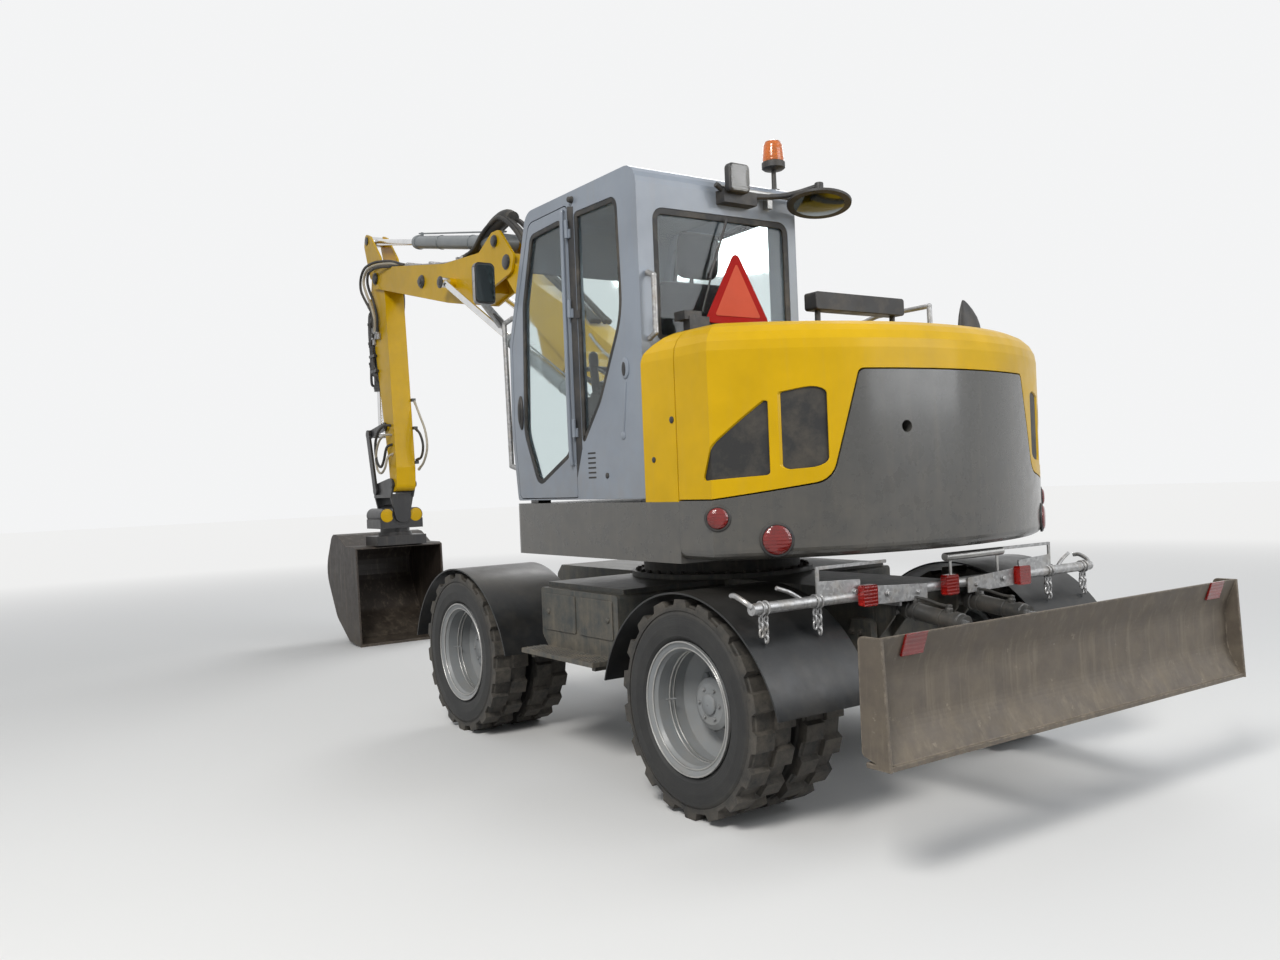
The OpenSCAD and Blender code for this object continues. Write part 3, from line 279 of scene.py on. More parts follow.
SIGN = {"rough": 0.5, "coat": 0.0, "dust": 0.05, "dust_z": (1.5, 2.6), "streak": 0.0, "spec": 0.1}
MAT = {
    "yellow": paint("yellow", (0.68, 0.41, 0.001), rough=0.36, coat=0.12, dust=0.22, dust_z=(0.2, 1.4), streak=0.06,
                    spec=0.18),
    "cab": paint("cab_paint", (0.24, 0.275, 0.325), rough=0.36, coat=0.3, dust=0.35, dust_z=(1.2, 1.9), streak=0.14),
    "grey": paint("grey_gloss", (0.060, 0.059, 0.054), rough=0.26, coat=0.5, dust=0.22, dust_z=(0.9, 1.7), streak=0.10),
    "chassis": paint("chassis_paint", (0.045, 0.052, 0.052), rough=0.5, coat=0.1, dust=0.75, dust_z=(0.3, 1.3),
                     streak=0.3, worn=0.25),
    "cast": paint("cast_dark", (0.04, 0.042, 0.042), rough=0.6, coat=0.0, dust=0.85, dust_z=(0.2, 1.3), streak=0.3,
                  worn=0.2),
    "links": paint("link_black", (0.016, 0.016, 0.018), rough=0.4, coat=0.2, dust=0.25, dust_z=(0.2, 1.2), worn=0.3,
                   worn_colour=(0.20, 0.18, 0.16)),
    "blade": paint("blade_steel", (0.100, 0.082, 0.064), rough=0.55, coat=0.0, dust=0.55, dust_z=(0.2, 1.2),
                   streak=0.35, worn=0.75, worn_colour=(0.34, 0.29, 0.23)),
    "bucket": paint("bucket_steel", (0.024, 0.017, 0.013), rough=0.5, coat=0.05, dust=0.3, dust_z=(-0.1, 0.5),
                    streak=0.3, worn=0.6, worn_colour=(0.24, 0.19, 0.15)),
    "barrel": paint("barrel_grey", (0.20, 0.22, 0.23), rough=0.38, coat=0.2, dust=0.3, dust_z=(0.3, 1.3), streak=0.15),
    "barrel_dark": paint("barrel_dark", (0.035, 0.037, 0.038), rough=0.4, coat=0.2, dust=0.4, dust_z=(0.3, 1.3)),
    "fender": plastic("fender_black", (0.010, 0.011, 0.012), 0.36, 500, 0.07),
    "plastic": plastic("plastic_black", (0.020, 0.020, 0.021), 0.5, 900, 0.2),
    "grille": plastic("grille_black", (0.010, 0.010, 0.010), 0.6, 300, 0.2),
    "rubber": plastic("hose_rubber", (0.016, 0.016, 0.016), 0.6, 700, 0.3),
    "pale_hose": plastic("pale_hose", (0.42, 0.38, 0.30), 0.55, 500, 0.5),
    "chrome": steel("rod_chrome", (0.72, 0.72, 0.72), 0.14, (1, 1, 14), 0.15),
    "mirror": steel("mirror_glass", (0.16, 0.18, 0.175), 0.08, (1, 1, 1), 0.05),
    "bright": steel("bright_steel", (0.46, 0.455, 0.44), 0.35, (8, 1, 1), 0.4),
    "rim": paint("rim_silver", (0.25, 0.265, 0.275), rough=0.34, coat=0.1, dust=0.35, dust_z=(0.1, 0.9), streak=0.1,
                 worn=0.2, worn_colour=(0.20, 0.13, 0.08)),
    "engine": paint("engine_grey", (0.10, 0.10, 0.10), rough=0.6, coat=0.0, dust=0.6, dust_z=(1.3, 1.9)),
    "tube": galvanised("tube_silver"),
    "glass": glass("glass", (0.80, 0.86, 0.86)),
    "red_lens": lens("lamp_red", (0.50, 0.015, 0.010)),
    "clear_lens": lens("lamp_clear", (0.85, 0.85, 0.82), 0.08, 500.0, 0.8),
    "amber": lens("amber", (0.85, 0.20, 0.01), 0.15, 300.0, 0.4),
    "seat": fabric("seat_fabric", (0.020, 0.020, 0.023)),
    "sign_red": paint("triangle_red", (0.36, 0.008, 0.006), **SIGN),
    "sign_orange": paint("triangle_orange", (0.60, 0.10, 0.055), **SIGN),
    "tyre_front": rubber("tyre_front", at(AXLE_X, 0, AXLE_Z)),
    "tyre_rear": rubber("tyre_rear", at(-AXLE_X, 0, AXLE_Z))}

# The nodes of the part that each material goes on
NODES = {
    "chassis": "chassis_frame side_boxes", "fender": "rear_fenders fender_front_left fender_front_right",
    "cast": "slew_ring front_axle rear_axle knuckle_left knuckle_right", "blade": "dozer_blade",
    "tyre_front": "tyres_front_left tyres_front_right", "tyre_rear": "tyres_rear_left tyres_rear_right",
    "rim": "rims_front_left rims_front_right rims_rear_left rims_rear_right", "tube": "tail_bar handrails",
    "grey": "platform counterweight", "yellow": "hood_front bonnet right_cover lower_boom upper_boom stick",
    "grille": "hood_grilles", "engine": "engine_block", "cab": "cab_frame cab_door", "glass": "cab_glass door_glass",
    "plastic": "seat_base cab_controls", "seat": "seat_cushion", "bright": "roof_lamps", "red_lens": "tail_lamps",
    "amber": "beacon", "sign_red": "warning_triangle", "barrel": "lift_barrel adjust_barrels stick_barrel",
    "barrel_dark": "blade_barrels bucket_barrel", "chrome": "blade_rods lift_rod adjust_rods stick_rod bucket_rod",
    "links": "rocker bucket_link tilt_head tilt_body rotor_hitch", "bucket": "bucket"}
for mat, names in NODES.items():
    for name in names.split():
        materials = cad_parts[name].data.materials
        materials.clear()
        materials.append(MAT[mat])


# ---- Floor, backdrop and light ------------------------------------------
def stage_material():
    """Pale floor, lighter to the camera, gloss and glass than to the light, and white where it is far away."""
    m = Tree("stage")
    path = m.t.nodes.new("ShaderNodeLightPath")
    seen = m.math("MAXIMUM", m.math("MAXIMUM", path.outputs["Is Camera Ray"], path.outputs["Is Glossy Ray"]),
                  path.outputs["Is Transmission Ray"])
    colour = m.mix(seen, (0.42, 0.42, 0.42), (0.80, 0.80, 0.79))
    m.bump(m.noise(3, 2), 0.02, 0.001, 0)
    away = m.math("SQRT", m.math("ADD", m.math("POWER", m.axis(0), 2.0), m.math("POWER", m.axis(1), 2.0)))
    far = m.math("MULTIPLY", m.ramp(away, 5.0, 16.0, 0.0, 0.86), seen)
    near = m.mix(m.ramp(away, 5.0, 16.0), colour, (0.0, 0.0, 0.0))
    return m.set(Base_Color=near, Roughness=0.9, Specular_IOR_Level=0.1, Emission_Color=(0.97, 0.97, 0.965, 1),
                 Emission_Strength=far)


bm = bmesh.new()
bmesh.ops.create_grid(bm, x_segments=8, y_segments=8, size=60)
floor_mesh = bpy.data.meshes.new("floor")
bm.to_mesh(floor_mesh)
bm.free()
floor_mesh.materials.append(stage_material())
floor = add("floor", floor_mesh)

world = bpy.data.worlds.new("world")
bpy.context.scene.world = world
world.use_nodes = True
wt = world.node_tree
background = wt.nodes["Background"]
light_path = wt.nodes.new("ShaderNodeLightPath")
seen = light_path.outputs["Is Camera Ray"]
for ray in ("Is Transmission Ray", "Is Glossy Ray"):
    either = wt.nodes.new("ShaderNodeMath")
    either.operation = "MAXIMUM"
    wt.links.new(seen, either.inputs[0])
    wt.links.new(light_path.outputs[ray], either.inputs[1])
    seen = either.outputs[0]
blend = wt.nodes.new("ShaderNodeMix")
blend.data_type = "RGBA"
wt.links.new(seen, blend.inputs[0])
blend.inputs[6].default_value = (0.34, 0.355, 0.375, 1)
blend.inputs[7].default_value = (0.90, 0.905, 0.91, 1)
wt.links.new(blend.outputs[2], background.inputs[0])
background.inputs[1].default_value = 1.0


def area_light(name, place, target, size, power, colour=(1, 1, 1)):
    data = bpy.data.lights.new(name, "AREA")
    data.size = size
    data.energy = power
    data.color = colour
    light = add(name, data)
    light.location = place
    light.rotation_euler = (Vector(target) - Vector(place)).to_track_quat("-Z", "Y").to_euler()


area_light("key", (-7, 8, 9), (-0.5, 0, 1.2), 3.5, 960, (1, 0.98, 0.95))
area_light("fill", (-10, -4, 5), (-1, 0, 1.2), 6, 350, (0.95, 0.97, 1))
area_light("rim", (6, -7, 7), (0, 0, 1.5), 5, 350)


# ---- Shape helpers ------------------------------------------------------
def circle(steps):
    """Angles of so many even steps round a full turn."""
    return [2 * math.pi * k / steps for k in range(steps)]


def corner(a, b, c, radius, steps):
    """Arc that rounds the corner at b between a and c."""
    u = (Vector(a) - Vector(b)).normalized()
    v = (Vector(c) - Vector(b)).normalized()
    half = u.angle(v) / 2
    centre = Vector(b) + (u + v).normalized() * (radius / math.sin(half))
    start = Vector(b) + u * radius / math.tan(half) - centre
    end = Vector(b) + v * radius / math.tan(half) - centre
    turn = math.atan2(start.x * end.y - start.y * end.x, start.dot(end))
    first = math.atan2(start.y, start.x)
    return [centre + radius * Vector((math.cos(first + turn * i / steps), math.sin(first + turn * i / steps)))
            for i in range(steps + 1)]


def outline(corners, steps=6):
    """Points of an outline from corners given as (x, y, radius)."""
    points = []
    for i, b in enumerate(corners):
        a, c = corners[i - 1], corners[(i + 1) % len(corners)]
        points += corner(a[:2], b[:2], c[:2], b[2], steps) if b[2] else [Vector(b[:2])]
    return points


def rounded(a0, b0, a1, b1, radius):
    """Outline of a rectangle with rounded corners."""
    return outline([(a0, b0, radius), (a0, b1, radius), (a1, b1, radius), (a1, b0, radius)])


def smooth(points, n, closed=False):
    """Catmull-Rom curve through the points, with n steps from one to the next."""
    p = [Vector(q) for q in points]
    p = [p[-1]] + p + [p[0], p[1]] if closed else [2 * p[0] - p[1]] + p + [2 * p[-1] - p[-2]]
    path = []
    for i in range(1, len(p) - 2):
        a, b, c, d = p[i - 1:i + 3]
        for k in range(n):
            t = k / n
            path.append(0.5 * (2 * b + (c - a) * t + (2 * a - 5 * b + 4 * c - d) * t * t
                               + (3 * b - a - 3 * c + d) * t ** 3))
    return path if closed else path + [p[-2]]


def across(direction):
    """Two directions square to one and to each other."""
    side = Vector((0, 0, 1)) if abs(direction.z) < 0.9 else Vector((1, 0, 0))
    u = direction.cross(side).normalized()
    return u, direction.cross(u).normalized()


class Build:
    """One piece of the scene, gathered from several shapes."""

    def __init__(self):
        self.bm = bmesh.new()

    def rings(self, rings, closed=False):
        """Skin over rings of points, capped at both ends or closed to the first ring."""
        rows = [[self.bm.verts.new(p) for p in ring] for ring in rings]
        n = len(rows[0])
        for a, b in zip(rows, rows[1:] + rows[:closed]):
            for i in range(n):
                self.bm.faces.new((a[i], a[(i + 1) % n], b[(i + 1) % n], b[i]))
        if not closed:
            self.bm.faces.new(list(reversed(rows[0])))
            self.bm.faces.new(rows[-1])

    def tube(self, path, r, sides, closed=False, n=0):
        """Round bar along a path, in metres, that is smoothed in n steps a point. r is its radius or a function."""
        if n:
            path = smooth(path, n, closed)
        path = [Vector(p) for p in path]
        u = None
        rings = []
        for i, p in enumerate(path):
            if closed:
                d = (path[(i + 1) % len(path)] - path[i - 1]).normalized()
            else:
                d = (path[min(i + 1, len(path) - 1)] - path[max(i - 1, 0)]).normalized()
            u = across(d)[0] if u is None else (u - d * u.dot(d)).normalized()
            v = d.cross(u)
            radius = r(i / (len(path) - 1)) if callable(r) else r
            rings.append([p + radius * (math.cos(a) * u + math.sin(a) * v) for a in circle(sides)])
        self.rings(rings, closed)

    def lathe(self, start, axis, profile, sides):
        """Turned shape: profile is (distance along the axis, radius) in millimetres, capped at both ends."""
        d = Vector(axis).normalized()
        u, v = across(d)
        self.rings([[Vector(start) + d * s / 1000 + max(q, 0.05) / 1000 * (math.cos(a) * u + math.sin(a) * v)
                     for a in circle(sides)] for s, q in profile])

    def bolt(self, start, axis, af):
        """Hexagon head on a washer, af across its flats in millimetres."""
        r = af / math.sqrt(3)
        self.lathe(start, axis, [(0, af * 0.75), (af * 0.12, af * 0.75)], 20)
        self.lathe(start, axis, [(af * 0.12, r), (af * 0.55, r), (af * 0.64, r * 0.86)], 6)

    def plate(self, points, direction):
        """Flat plate from an outline of 3-D points, as thick as direction is long."""
        self.rings([points, [p + Vector(direction) for p in points]])

    def box(self, low, high):
        (x0, y0, z0), (x1, y1, z1) = low, high
        self.plate([at(x0, y0, z0), at(x1, y0, z0), at(x1, y1, z0), at(x0, y1, z0)], (0, 0, (z1 - z0) / 1000))

    def done(self, name, body, mat, bevel=0.0):
        """The piece as an object on its body, if that is known yet, with its edges bevelled in millimetres."""
        bmesh.ops.recalc_face_normals(self.bm, faces=self.bm.faces)
        mesh = bpy.data.meshes.new(name)
        self.bm.to_mesh(mesh)
        self.bm.free()
        mesh.shade_smooth()
        mesh.set_sharp_from_angle(angle=math.radians(35))
        mesh.materials.append(MAT[mat])
        obj = add(name, mesh)
        if bevel:
            m = obj.modifiers.new("bevel", "BEVEL")
            m.width = bevel / 1000
            m.segments = 2
            m.limit_method = "ANGLE"
        if body:
            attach(obj, body)
        return obj


def in_side(points, y):
    """Outline of X and Z on the plane at y."""
    return [at(p[0], y, p[1]) for p in points]


def in_cross(points, x):
    """Outline of Y and Z on the plane at x."""
    return [at(x, p[0], p[1]) for p in points]


def drawn_in(points, middle, x, k):
    """Outline of Y and Z on the plane at x, scaled by k about its middle."""
    middle = Vector(middle)
    return in_cross([middle + (p - middle) * k for p in points], x)


def ovals(x, z, wide, tall, y, layers, steps=28):
    """Ovals about x and z, for each (d, k) of the layers d beyond the plane at y and scaled by k."""
    return [[at(x + k * wide * math.cos(a), y + d, z + k * tall * math.sin(a)) for a in circle(steps)]
            for d, k in layers]


# ---- Wheels -------------------------------------------------------------
# Inner side of the outer tyres, and the middle of the gap behind it, where the discs of both rims meet
TYRE_IN = 1153 - 222
DISC_Y = TYRE_IN - 25
for end, x in (("front", AXLE_X), ("rear", -AXLE_X)):
    for side, s in (("left", 1), ("right", -1)):
        body = "wheels_%s_%s" % (end, side)
        nuts = Build()
        for i in range(10):
            a = math.radians(36 * i + 9)
            nuts.bolt(at(x + 146 * math.cos(a), s * (DISC_Y + 22.2), AXLE_Z + 146 * math.sin(a)), (0, s, 0), 27)
        for i in range(6):
            a = math.radians(60 * i)
            nuts.bolt(at(x + 70 * math.cos(a), s * (DISC_Y + 104), AXLE_Z + 70 * math.sin(a)), (0, s, 0), 13)
        nuts.lathe(at(x, s * (DISC_Y + 103), AXLE_Z), (0, s, 0), [(0, 48), (10, 46), (14, 40), (15, 6), (17, 5)], 32)
        nuts.tube([at(x + 205, s * 1040, AXLE_Z), at(x + 215, s * 1062, AXLE_Z), at(x + 222, s * 1085, AXLE_Z)],
                  0.004, 8, n=4)
        nuts.done("wheel_nuts_%s_%s" % (end, side), body, "rim")
        # Rings on the rim's lip and in its barrel, in bright steel paler than the rim's paint: painted highlight along
        # the ridges
        highlight_beads = Build()
        for y, r in ((1129.5, 261.5), (1142, 289.5), (1046, 247.5), (1024, 247.5)):
            highlight_beads.tube([at(x + r * math.cos(a), s * y, AXLE_Z + r * math.sin(a)) for a in circle(72)], 0.0045, 8,
                       closed=True)
        highlight_beads.done("rim_highlight_beads_%s_%s" % (end, side), body, "bright")

# ---- Chassis ------------------------------------------------------------
bolts = Build()
for i in range(36):
    a = math.radians(10 * i + 5)
    bolts.bolt(at(486 * math.cos(a), 486 * math.sin(a), 955), (0, 0, 1), 22)
for x, z in ((-1400, 740), (-1345, 560), (-1345, 740)):
    for s in (-1, 1):
        bolts.bolt(at(x, s * 330, z), (0, s, 0), 22)
bolts.done("chassis_bolts", "undercarriage", "cast")

treads = Build()
for s in (-1, 1):
    for i in range(7):
        for k in range(24):
            treads.lathe(at(30 * k - 350 + 15 * (i % 2), s * (1000 + 20 * i), 580), (0, 0, 1),
                         [(0, 7), (3, 5), (4, 3)], 8)
treads.done("step_treads", "undercarriage", "chassis")

panels = Build()
for s in (-1, 1):
    for x in (-340, 20):
        panels.plate(in_side(rounded(x, 670, x + 320, 870, 12), s * 985.2), (0, s * 0.006, 0))
    for x in (-300, 300):
        panels.lathe(at(x, s * 991, 770), (0, s, 0), [(0, 16), (6, 15), (8, 11), (10, 5)], 20)
panels.done("side_panels", "undercarriage", "chassis", bevel=1.5)


def chain(build, start, links):
    """Round links hanging down from a point, each turned a quarter from the last."""
    wire, tall, wide, step = 0.005, 0.017, 0.009, 0.026
    for i in range(links):
        centre = start - Vector((0, 0, step * i + tall))
        side = Vector((1, 0, 0)) if i % 2 else Vector((0, 1, 0))
        build.tube([centre + side * wide * math.cos(a) + Vector((0, 0, tall * math.sin(a))) for a in circle(16)],
                   wire, 6, closed=True)


tail = Build()
for s in (-1, 1):
    for y in (1085, 790):
        for d, links in ((-13, 4), (13, 3)):
            tail.tube([at(-1600 + 27 * math.cos(a), s * y + d, 940 + 27 * math.sin(a)) for a in circle(16)], 0.005, 8,
                      closed=True)
            chain(tail, at(-1600, s * y + d, 911), links)
    tail.tube([at(-1600, s * 1142, 948), at(-1580, s * 1160, 970), at(-1530, s * 1168, 992), at(-1500, s * 1164, 990)],
              0.011, 10, n=5)
    tail.tube([at(-1600, s * 866, 950), at(-1592, s * 930, 988), at(-1582, s * 995, 1012)], 0.009, 10, n=5)
    tail.plate(in_cross(outline([(s * 140, 890, 6), (s * 478, 898, 6), (s * 478, 978, 6), (s * 140, 960, 6)]), -1624),
               (-0.006, 0, 0))
    tail.bolt(at(-1630, s * 395, 938), (-1, 0, 0), 22)
    tail.bolt(at(-1630, s * 200, 926), (-1, 0, 0), 16)
    tail.plate(in_cross(outline([(s * y, z, r) for y, z, r in (
        (800, 955, 10), (545, 940, 10), (545, 1012, 6), (784, 1022, 4), (784, 1070, 4), (380, 1070, 4), (380, 1084, 4),
        (800, 1084, 4))]), -1606), (-0.008, 0, 0))
    tail.bolt(at(-1614, s * 580, 962), (-1, 0, 0), 20)
tail.done("tail_chains", "undercarriage", "tube")
rail = Build()
rail.tube([at(-1610, -8, 1066), at(-1610, -422, 1066)], 0.019, 14)
for y in (-45, -385):
    rail.box((-1614, y - 8, 955), (-1606, y + 8, 1062))
rail.done("tail_rail", "undercarriage", "bright", bevel=2)

reflectors = Build()
for s in (-1, 1):
    corners = [at(-2319, s * 1070, 905), at(-2319, s * 957, 905), at(-2291, s * 957, 824), at(-2291, s * 1070, 824)]
    reflectors.plate(corners, (-0.010, 0, 0))
reflectors.done("blade_reflectors", "blade", "red_lens", bevel=2)

# ---- Cab ----------------------------------------------------------------
# Outer side, inner side, rear, floor and roof of the cab, and how deep its panes lie in the frames
CAB_OUT, CAB_IN, CAB_REAR, CAB_FLOOR, CAB_TOP = 1100, 120, -850, 1432, 2930
PANE = 13.7
DOOR_WINDOW = [(-190, 2815, 50), (150, 2800, 60), (262, 2440, 300), (300, 1750, 200), (160, 1450, 70), (-190, 1610, 70)]
QUARTER = [(-300, 2820, 30), (-690, 2815, 60), (-705, 2250, 400), (-490, 1860, 300), (-300, 1640, 20)]
REAR = [(172, 2110, 40), (1012, 2110, 40), (1012, 2732, 60), (172, 2740, 60)]
RIGHT = [(-690, 1900, 60), (-690, 2815, 60), (130, 2800, 60), (300, 2250, 200), (310, 1900, 60)]


def inward(points, amount):
    """Closed outline moved towards its inside."""
    centre = sum(points, Vector((0, 0))) / len(points)
    moved = []
    for i, p in enumerate(points):
        d = (points[(i + 1) % len(points)] - points[i - 1]).normalized()
        n = Vector((-d.y, d.x))
        if n.dot(centre - p) < 0:
            n.negate()
        moved.append(p + n * amount)
    return moved


def frame_band(build, corners, width, place, depth):
    """Flat black band printed round a pane's edge, width wide, standing depth proud."""
    outer = inward(outline(corners, 8), 1)
    inner = inward(outline(corners, 8), width)
    build.rings([[place(p, lift) for p in points]
                 for points, lift in ((outer, 0.0), (outer, depth), (inner, depth), (inner, 0.0))], closed=True)


seals = Build()
frame_band(seals, QUARTER, 26, lambda p, d: at(p[0], CAB_OUT - PANE + d, p[1]), 12)
frame_band(seals, REAR, 30, lambda p, d: at(CAB_REAR + PANE - d, p[0], p[1]), 12)
frame_band(seals, RIGHT, 26, lambda p, d: at(p[0], CAB_IN + PANE - d, p[1]), 12)
seals.done("window_seals", "upper_structure", "rubber", bevel=2)
door_seal = Build()
frame_band(door_seal, DOOR_WINDOW, 24, lambda p, d: at(p[0], CAB_OUT - PANE + d, p[1]), 13)
door_seal.done("door_seal", "door", "rubber", bevel=2)

pillar = Build()
pillar.plate(in_side([Vector((-299, 1640)), Vector((-299, 2850)), Vector((-243, 2862)), Vector((-243, 1500))], CAB_OUT),
             (0, 0.0015, 0))
pillar.done("pillar_strip", "upper_structure", "plastic")

tube = Build()
tube.tube([at(-212, y, z) for y, z in ((1112, 2850), (1116, 2780), (1118, 2300), (1116, 1640), (1104, 1560))],
          0.011, 12, n=6)
tube.done("door_tube", "door", "cab")

handle = Build()
handle.rings(ovals(318, 1865, 24, 92, CAB_OUT, ((0, 1), (7, 1), (12, 0.86), (13, 0.6))))
handle.rings(ovals(318, 1865, 13, 62, CAB_OUT + 13, ((-2, 1), (6, 0.9), (8, 0.6))))
handle.done("door_handle", "door", "plastic")

catch = Build()
catch.box((-330, CAB_OUT, 2290), (-290, CAB_OUT + 4, 2330))
catch.lathe(at(-290, CAB_OUT, 2885), (0, 1, 0), [(0, 18), (10, 16), (22, 14), (26, 8)], 20)
catch.lathe(at(-520, CAB_OUT, 1500), (0, 1, 0), [(0, 14), (3, 14), (6, 10), (7, 4)], 20)
catch.done("door_catch", "upper_structure", "plastic")

slots = Build()
for k in range(6):
    slots.plate(in_side(rounded(-420, 1490 + 24 * k, -350, 1498 + 24 * k, 3), CAB_OUT), (0, 0.0012, 0))
slots.done("cab_slots", "upper_structure", "grille")

lock = Build()
lock.rings(ovals(-709, 1998, 33, 50, CAB_OUT, ((-1, 1), (4, 1), (7, 0.88), (7.5, 0.7))))
lock.rings([[at(-675 - 34 * t + 7 * k * math.cos(a), CAB_OUT + d, 1700 + 230 * t + 7 * k * math.sin(a))
             for t, a in ((int(math.sin(a) >= 0), a) for a in circle(24))] for d, k in ((-1, 1), (2, 1), (3, 0.7))])
lock.lathe(at(-672, CAB_OUT - 1, 1684), (0, 1, 0), [(0, 19), (3, 19), (6, 15), (7, 4)], 24)
lock.done("cab_lock_plate", "upper_structure", "cab")
keyhole = Build()
keyhole.rings(ovals(-706, 1994, 15, 33, CAB_OUT, ((6, 1), (9, 1), (11, 0.8), (11.5, 0.4)), 24))
keyhole.done("cab_lock", "upper_structure", "plastic")

wiper = Build()
wiper.tube([at(CAB_REAR - 2, 590, 2705), at(CAB_REAR - 18, 590, 2695), at(CAB_REAR - 16, 700, 2420)], 0.006, 8, n=5)
wiper.tube([at(CAB_REAR - 10, 640, 2570), at(CAB_REAR - 10, 745, 2260)], 0.005, 8)
wiper.done("rear_wiper", "upper_structure", "plastic")


# ---- Seat, as three padded pieces, and consoles -------------------------
def cushion(name, low, high, lean=0.0, crown=0.025):
    """Padded block from low to high, in metres, with rounded edges, two crowned faces and two sewn channels."""
    rounding = 0.045
    bm = bmesh.new()
    bmesh.ops.create_cube(bm, size=2)
    bmesh.ops.subdivide_edges(bm, edges=bm.edges[:], cuts=15, use_grid_fill=True)
    half = (Vector(high) - Vector(low)) / 2
    mid = (Vector(high) + Vector(low)) / 2
    thin = 2 if half.z < half.x else 0
    for v in bm.verts:
        u = v.co.copy()
        p = Vector((u.x * half.x, u.y * half.y, u.z * half.z))
        limit = Vector((half.x - rounding, half.y - rounding, half.z - rounding))
        core = Vector([max(-max(limit[i], 0), min(max(limit[i], 0), p[i])) for i in range(3)])
        away = p - core
        if away.length > 1e-6:
            p = core + away.normalized() * min(away.length, rounding)
        wide = 1 - u.y * u.y
        long = 1 - (u.x if thin == 2 else u.z) ** 2
        sign = 1 if u[thin] > 0 else -1
        p[thin] += sign * (crown * (wide * long - 0.5) - 0.010 * math.exp(-((abs(u.y) - 0.55) / 0.05) ** 2)
                           * (1 if u[thin] > 0.5 else 0))
        p.x += lean * (p.z + half.z) / (2 * half.z)
        v.co = p + mid
    mesh = bpy.data.meshes.new(name)
    bm.to_mesh(mesh)
    bm.free()
    mesh.shade_smooth()
    mesh.materials.append(MAT["seat"])
    obj = add(name, mesh)
    sub = obj.modifiers.new("smooth", "SUBSURF")
    sub.levels = sub.render_levels = 1
    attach(obj, "upper_structure")
    return obj


SEAT_Z = CAB_FLOOR + 300
pad = cushion("seat_pad", at(-555, 380, SEAT_Z + 4), at(-85, 840, SEAT_Z + 112))
cushion("seat_back", at(-575, 385, SEAT_Z + 128), at(-475, 835, SEAT_Z + 715), lean=-0.09, crown=0.018)
cushion("seat_head", at(-690, 485, SEAT_Z + 728), at(-610, 735, SEAT_Z + 955), lean=-0.025, crown=0.012)
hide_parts("seat_cushion")

inside = Build()
for s in (-1, 1):
    inside.lathe(at(-160, 610 + s * 300, CAB_FLOOR + 480), (0.1, 0, 1), [
        (0, 34), (20, 30), (34, 14), (90, 9), (150, 9), (160, 22), (190, 26), (225, 24), (240, 10)], 24)
inside.box((170, 250, 1500), (190, 470, 1640))
inside.box((-560, 560, SEAT_Z + 700), (-548, 580, SEAT_Z + 760))
inside.done("cab_fittings", "upper_structure", "plastic", bevel=2)

# ---- Upper structure ----------------------------------------------------
lamps = Build()
rims = Build()
for s in (-1, 1):
    for x, y, z, r in ((-1358, 1104, 1299, 45), (-1498, 905, 1200, 62)):
        out = Vector((x, s * y, 0)).normalized()
        rims.lathe(at(x, s * y, z) - out * 0.006, out,
                   [(0, r + 12), (9, r + 12), (13, r + 8), (14, r + 1), (8, r)], 36)
        lamps.lathe(at(x, s * y, z) - out * 0.004, out,
                    [(0, r - 1), (14, r - 1), (20, r - 8), (23, r * 0.6), (24, 4)], 36)
lamps.done("tail_round_lamps", "upper_structure", "red_lens")
rims.done("tail_lamp_rims", "upper_structure", "plastic")

latch = Build()
for s in (-1, 1):
    for x, z, r in ((-1085, 1730, 15), (-940, 1560, 13)):
        latch.lathe(at(x, s * 1120, z), (0, s, 0), [(0, r), (3, r), (5, r - 3), (6, 4)], 20)
latch.done("hood_locks", "upper_structure", "plastic")

fin = Build()
fin.rings([[at(-1100 + k * 30 * math.cos(a), -900 + 45 * (1 - k) + k * 84 * math.sin(a), 2100 + d)
            for a in circle(24)]
           for d, k in ((0, 1.25), (60, 1.2), (150, 1), (190, 0.85), (230, 0.58), (262, 0.28), (276, 0.1))])
fin.box((-990, 810, 2120), (-940, 925, 2212))
fin.box((-985, 850, 2195), (-905, 950, 2236))
fin.done("roof_fin", "upper_structure", "plastic", bevel=6)

cover = Build()
cover.plate(in_cross(rounded(20, 2312, -640, 2405, 16), -790), (-0.09, 0, 0))
for y in (-30, -590):
    cover.tube([at(-835, y, 2340), at(-835, y, 2120), at(-880, y, 2030)], 0.016, 10, n=4)
cover.done("valve_guard", "upper_structure", "plastic", bevel=4)

lamp = Build()
lamp.plate(in_cross(rounded(624, 2826, 496, 2966, 24), CAB_REAR - 60), (-0.042, 0, 0))
lamp.done("work_lamp_shells", "upper_structure", "plastic", bevel=8)
glow = Build()
glow.rings([drawn_in(rounded(616, 2834, 504, 2958, 20), (560, 2896), CAB_REAR - x, k)
            for x, k in ((101, 1), (106, 1), (109, 0.8), (110, 0.3))])
glow.done("work_lamp_glass", "upper_structure", "clear_lens")
ROOF_MIRROR = at(CAB_REAR - 176, 118, 2806)
MIRROR_AXIS = (0.14, -0.16, 1)
carrier = Build()
carrier.tube([at(CAB_REAR - 40, 660, 2868), at(CAB_REAR - 40, 560, 2828), at(CAB_REAR - 40, 300, 2850),
              at(CAB_REAR - 60, 160, 2880), at(CAB_REAR - 150, 96, 2900)], 0.014, 12, n=5)
carrier.box((CAB_REAR - 64, 425, 2784), (CAB_REAR + 2, 630, 2846))
carrier.lathe(at(CAB_REAR - 158, 96, 2880), (0.1, -0.1, 1), [(0, 10), (2, 22), (34, 22), (36, 8)], 16)
carrier.lathe(ROOF_MIRROR, MIRROR_AXIS, [(-2, 20), (14, 120), (30, 60), (38, 16), (90, 12)], 36)
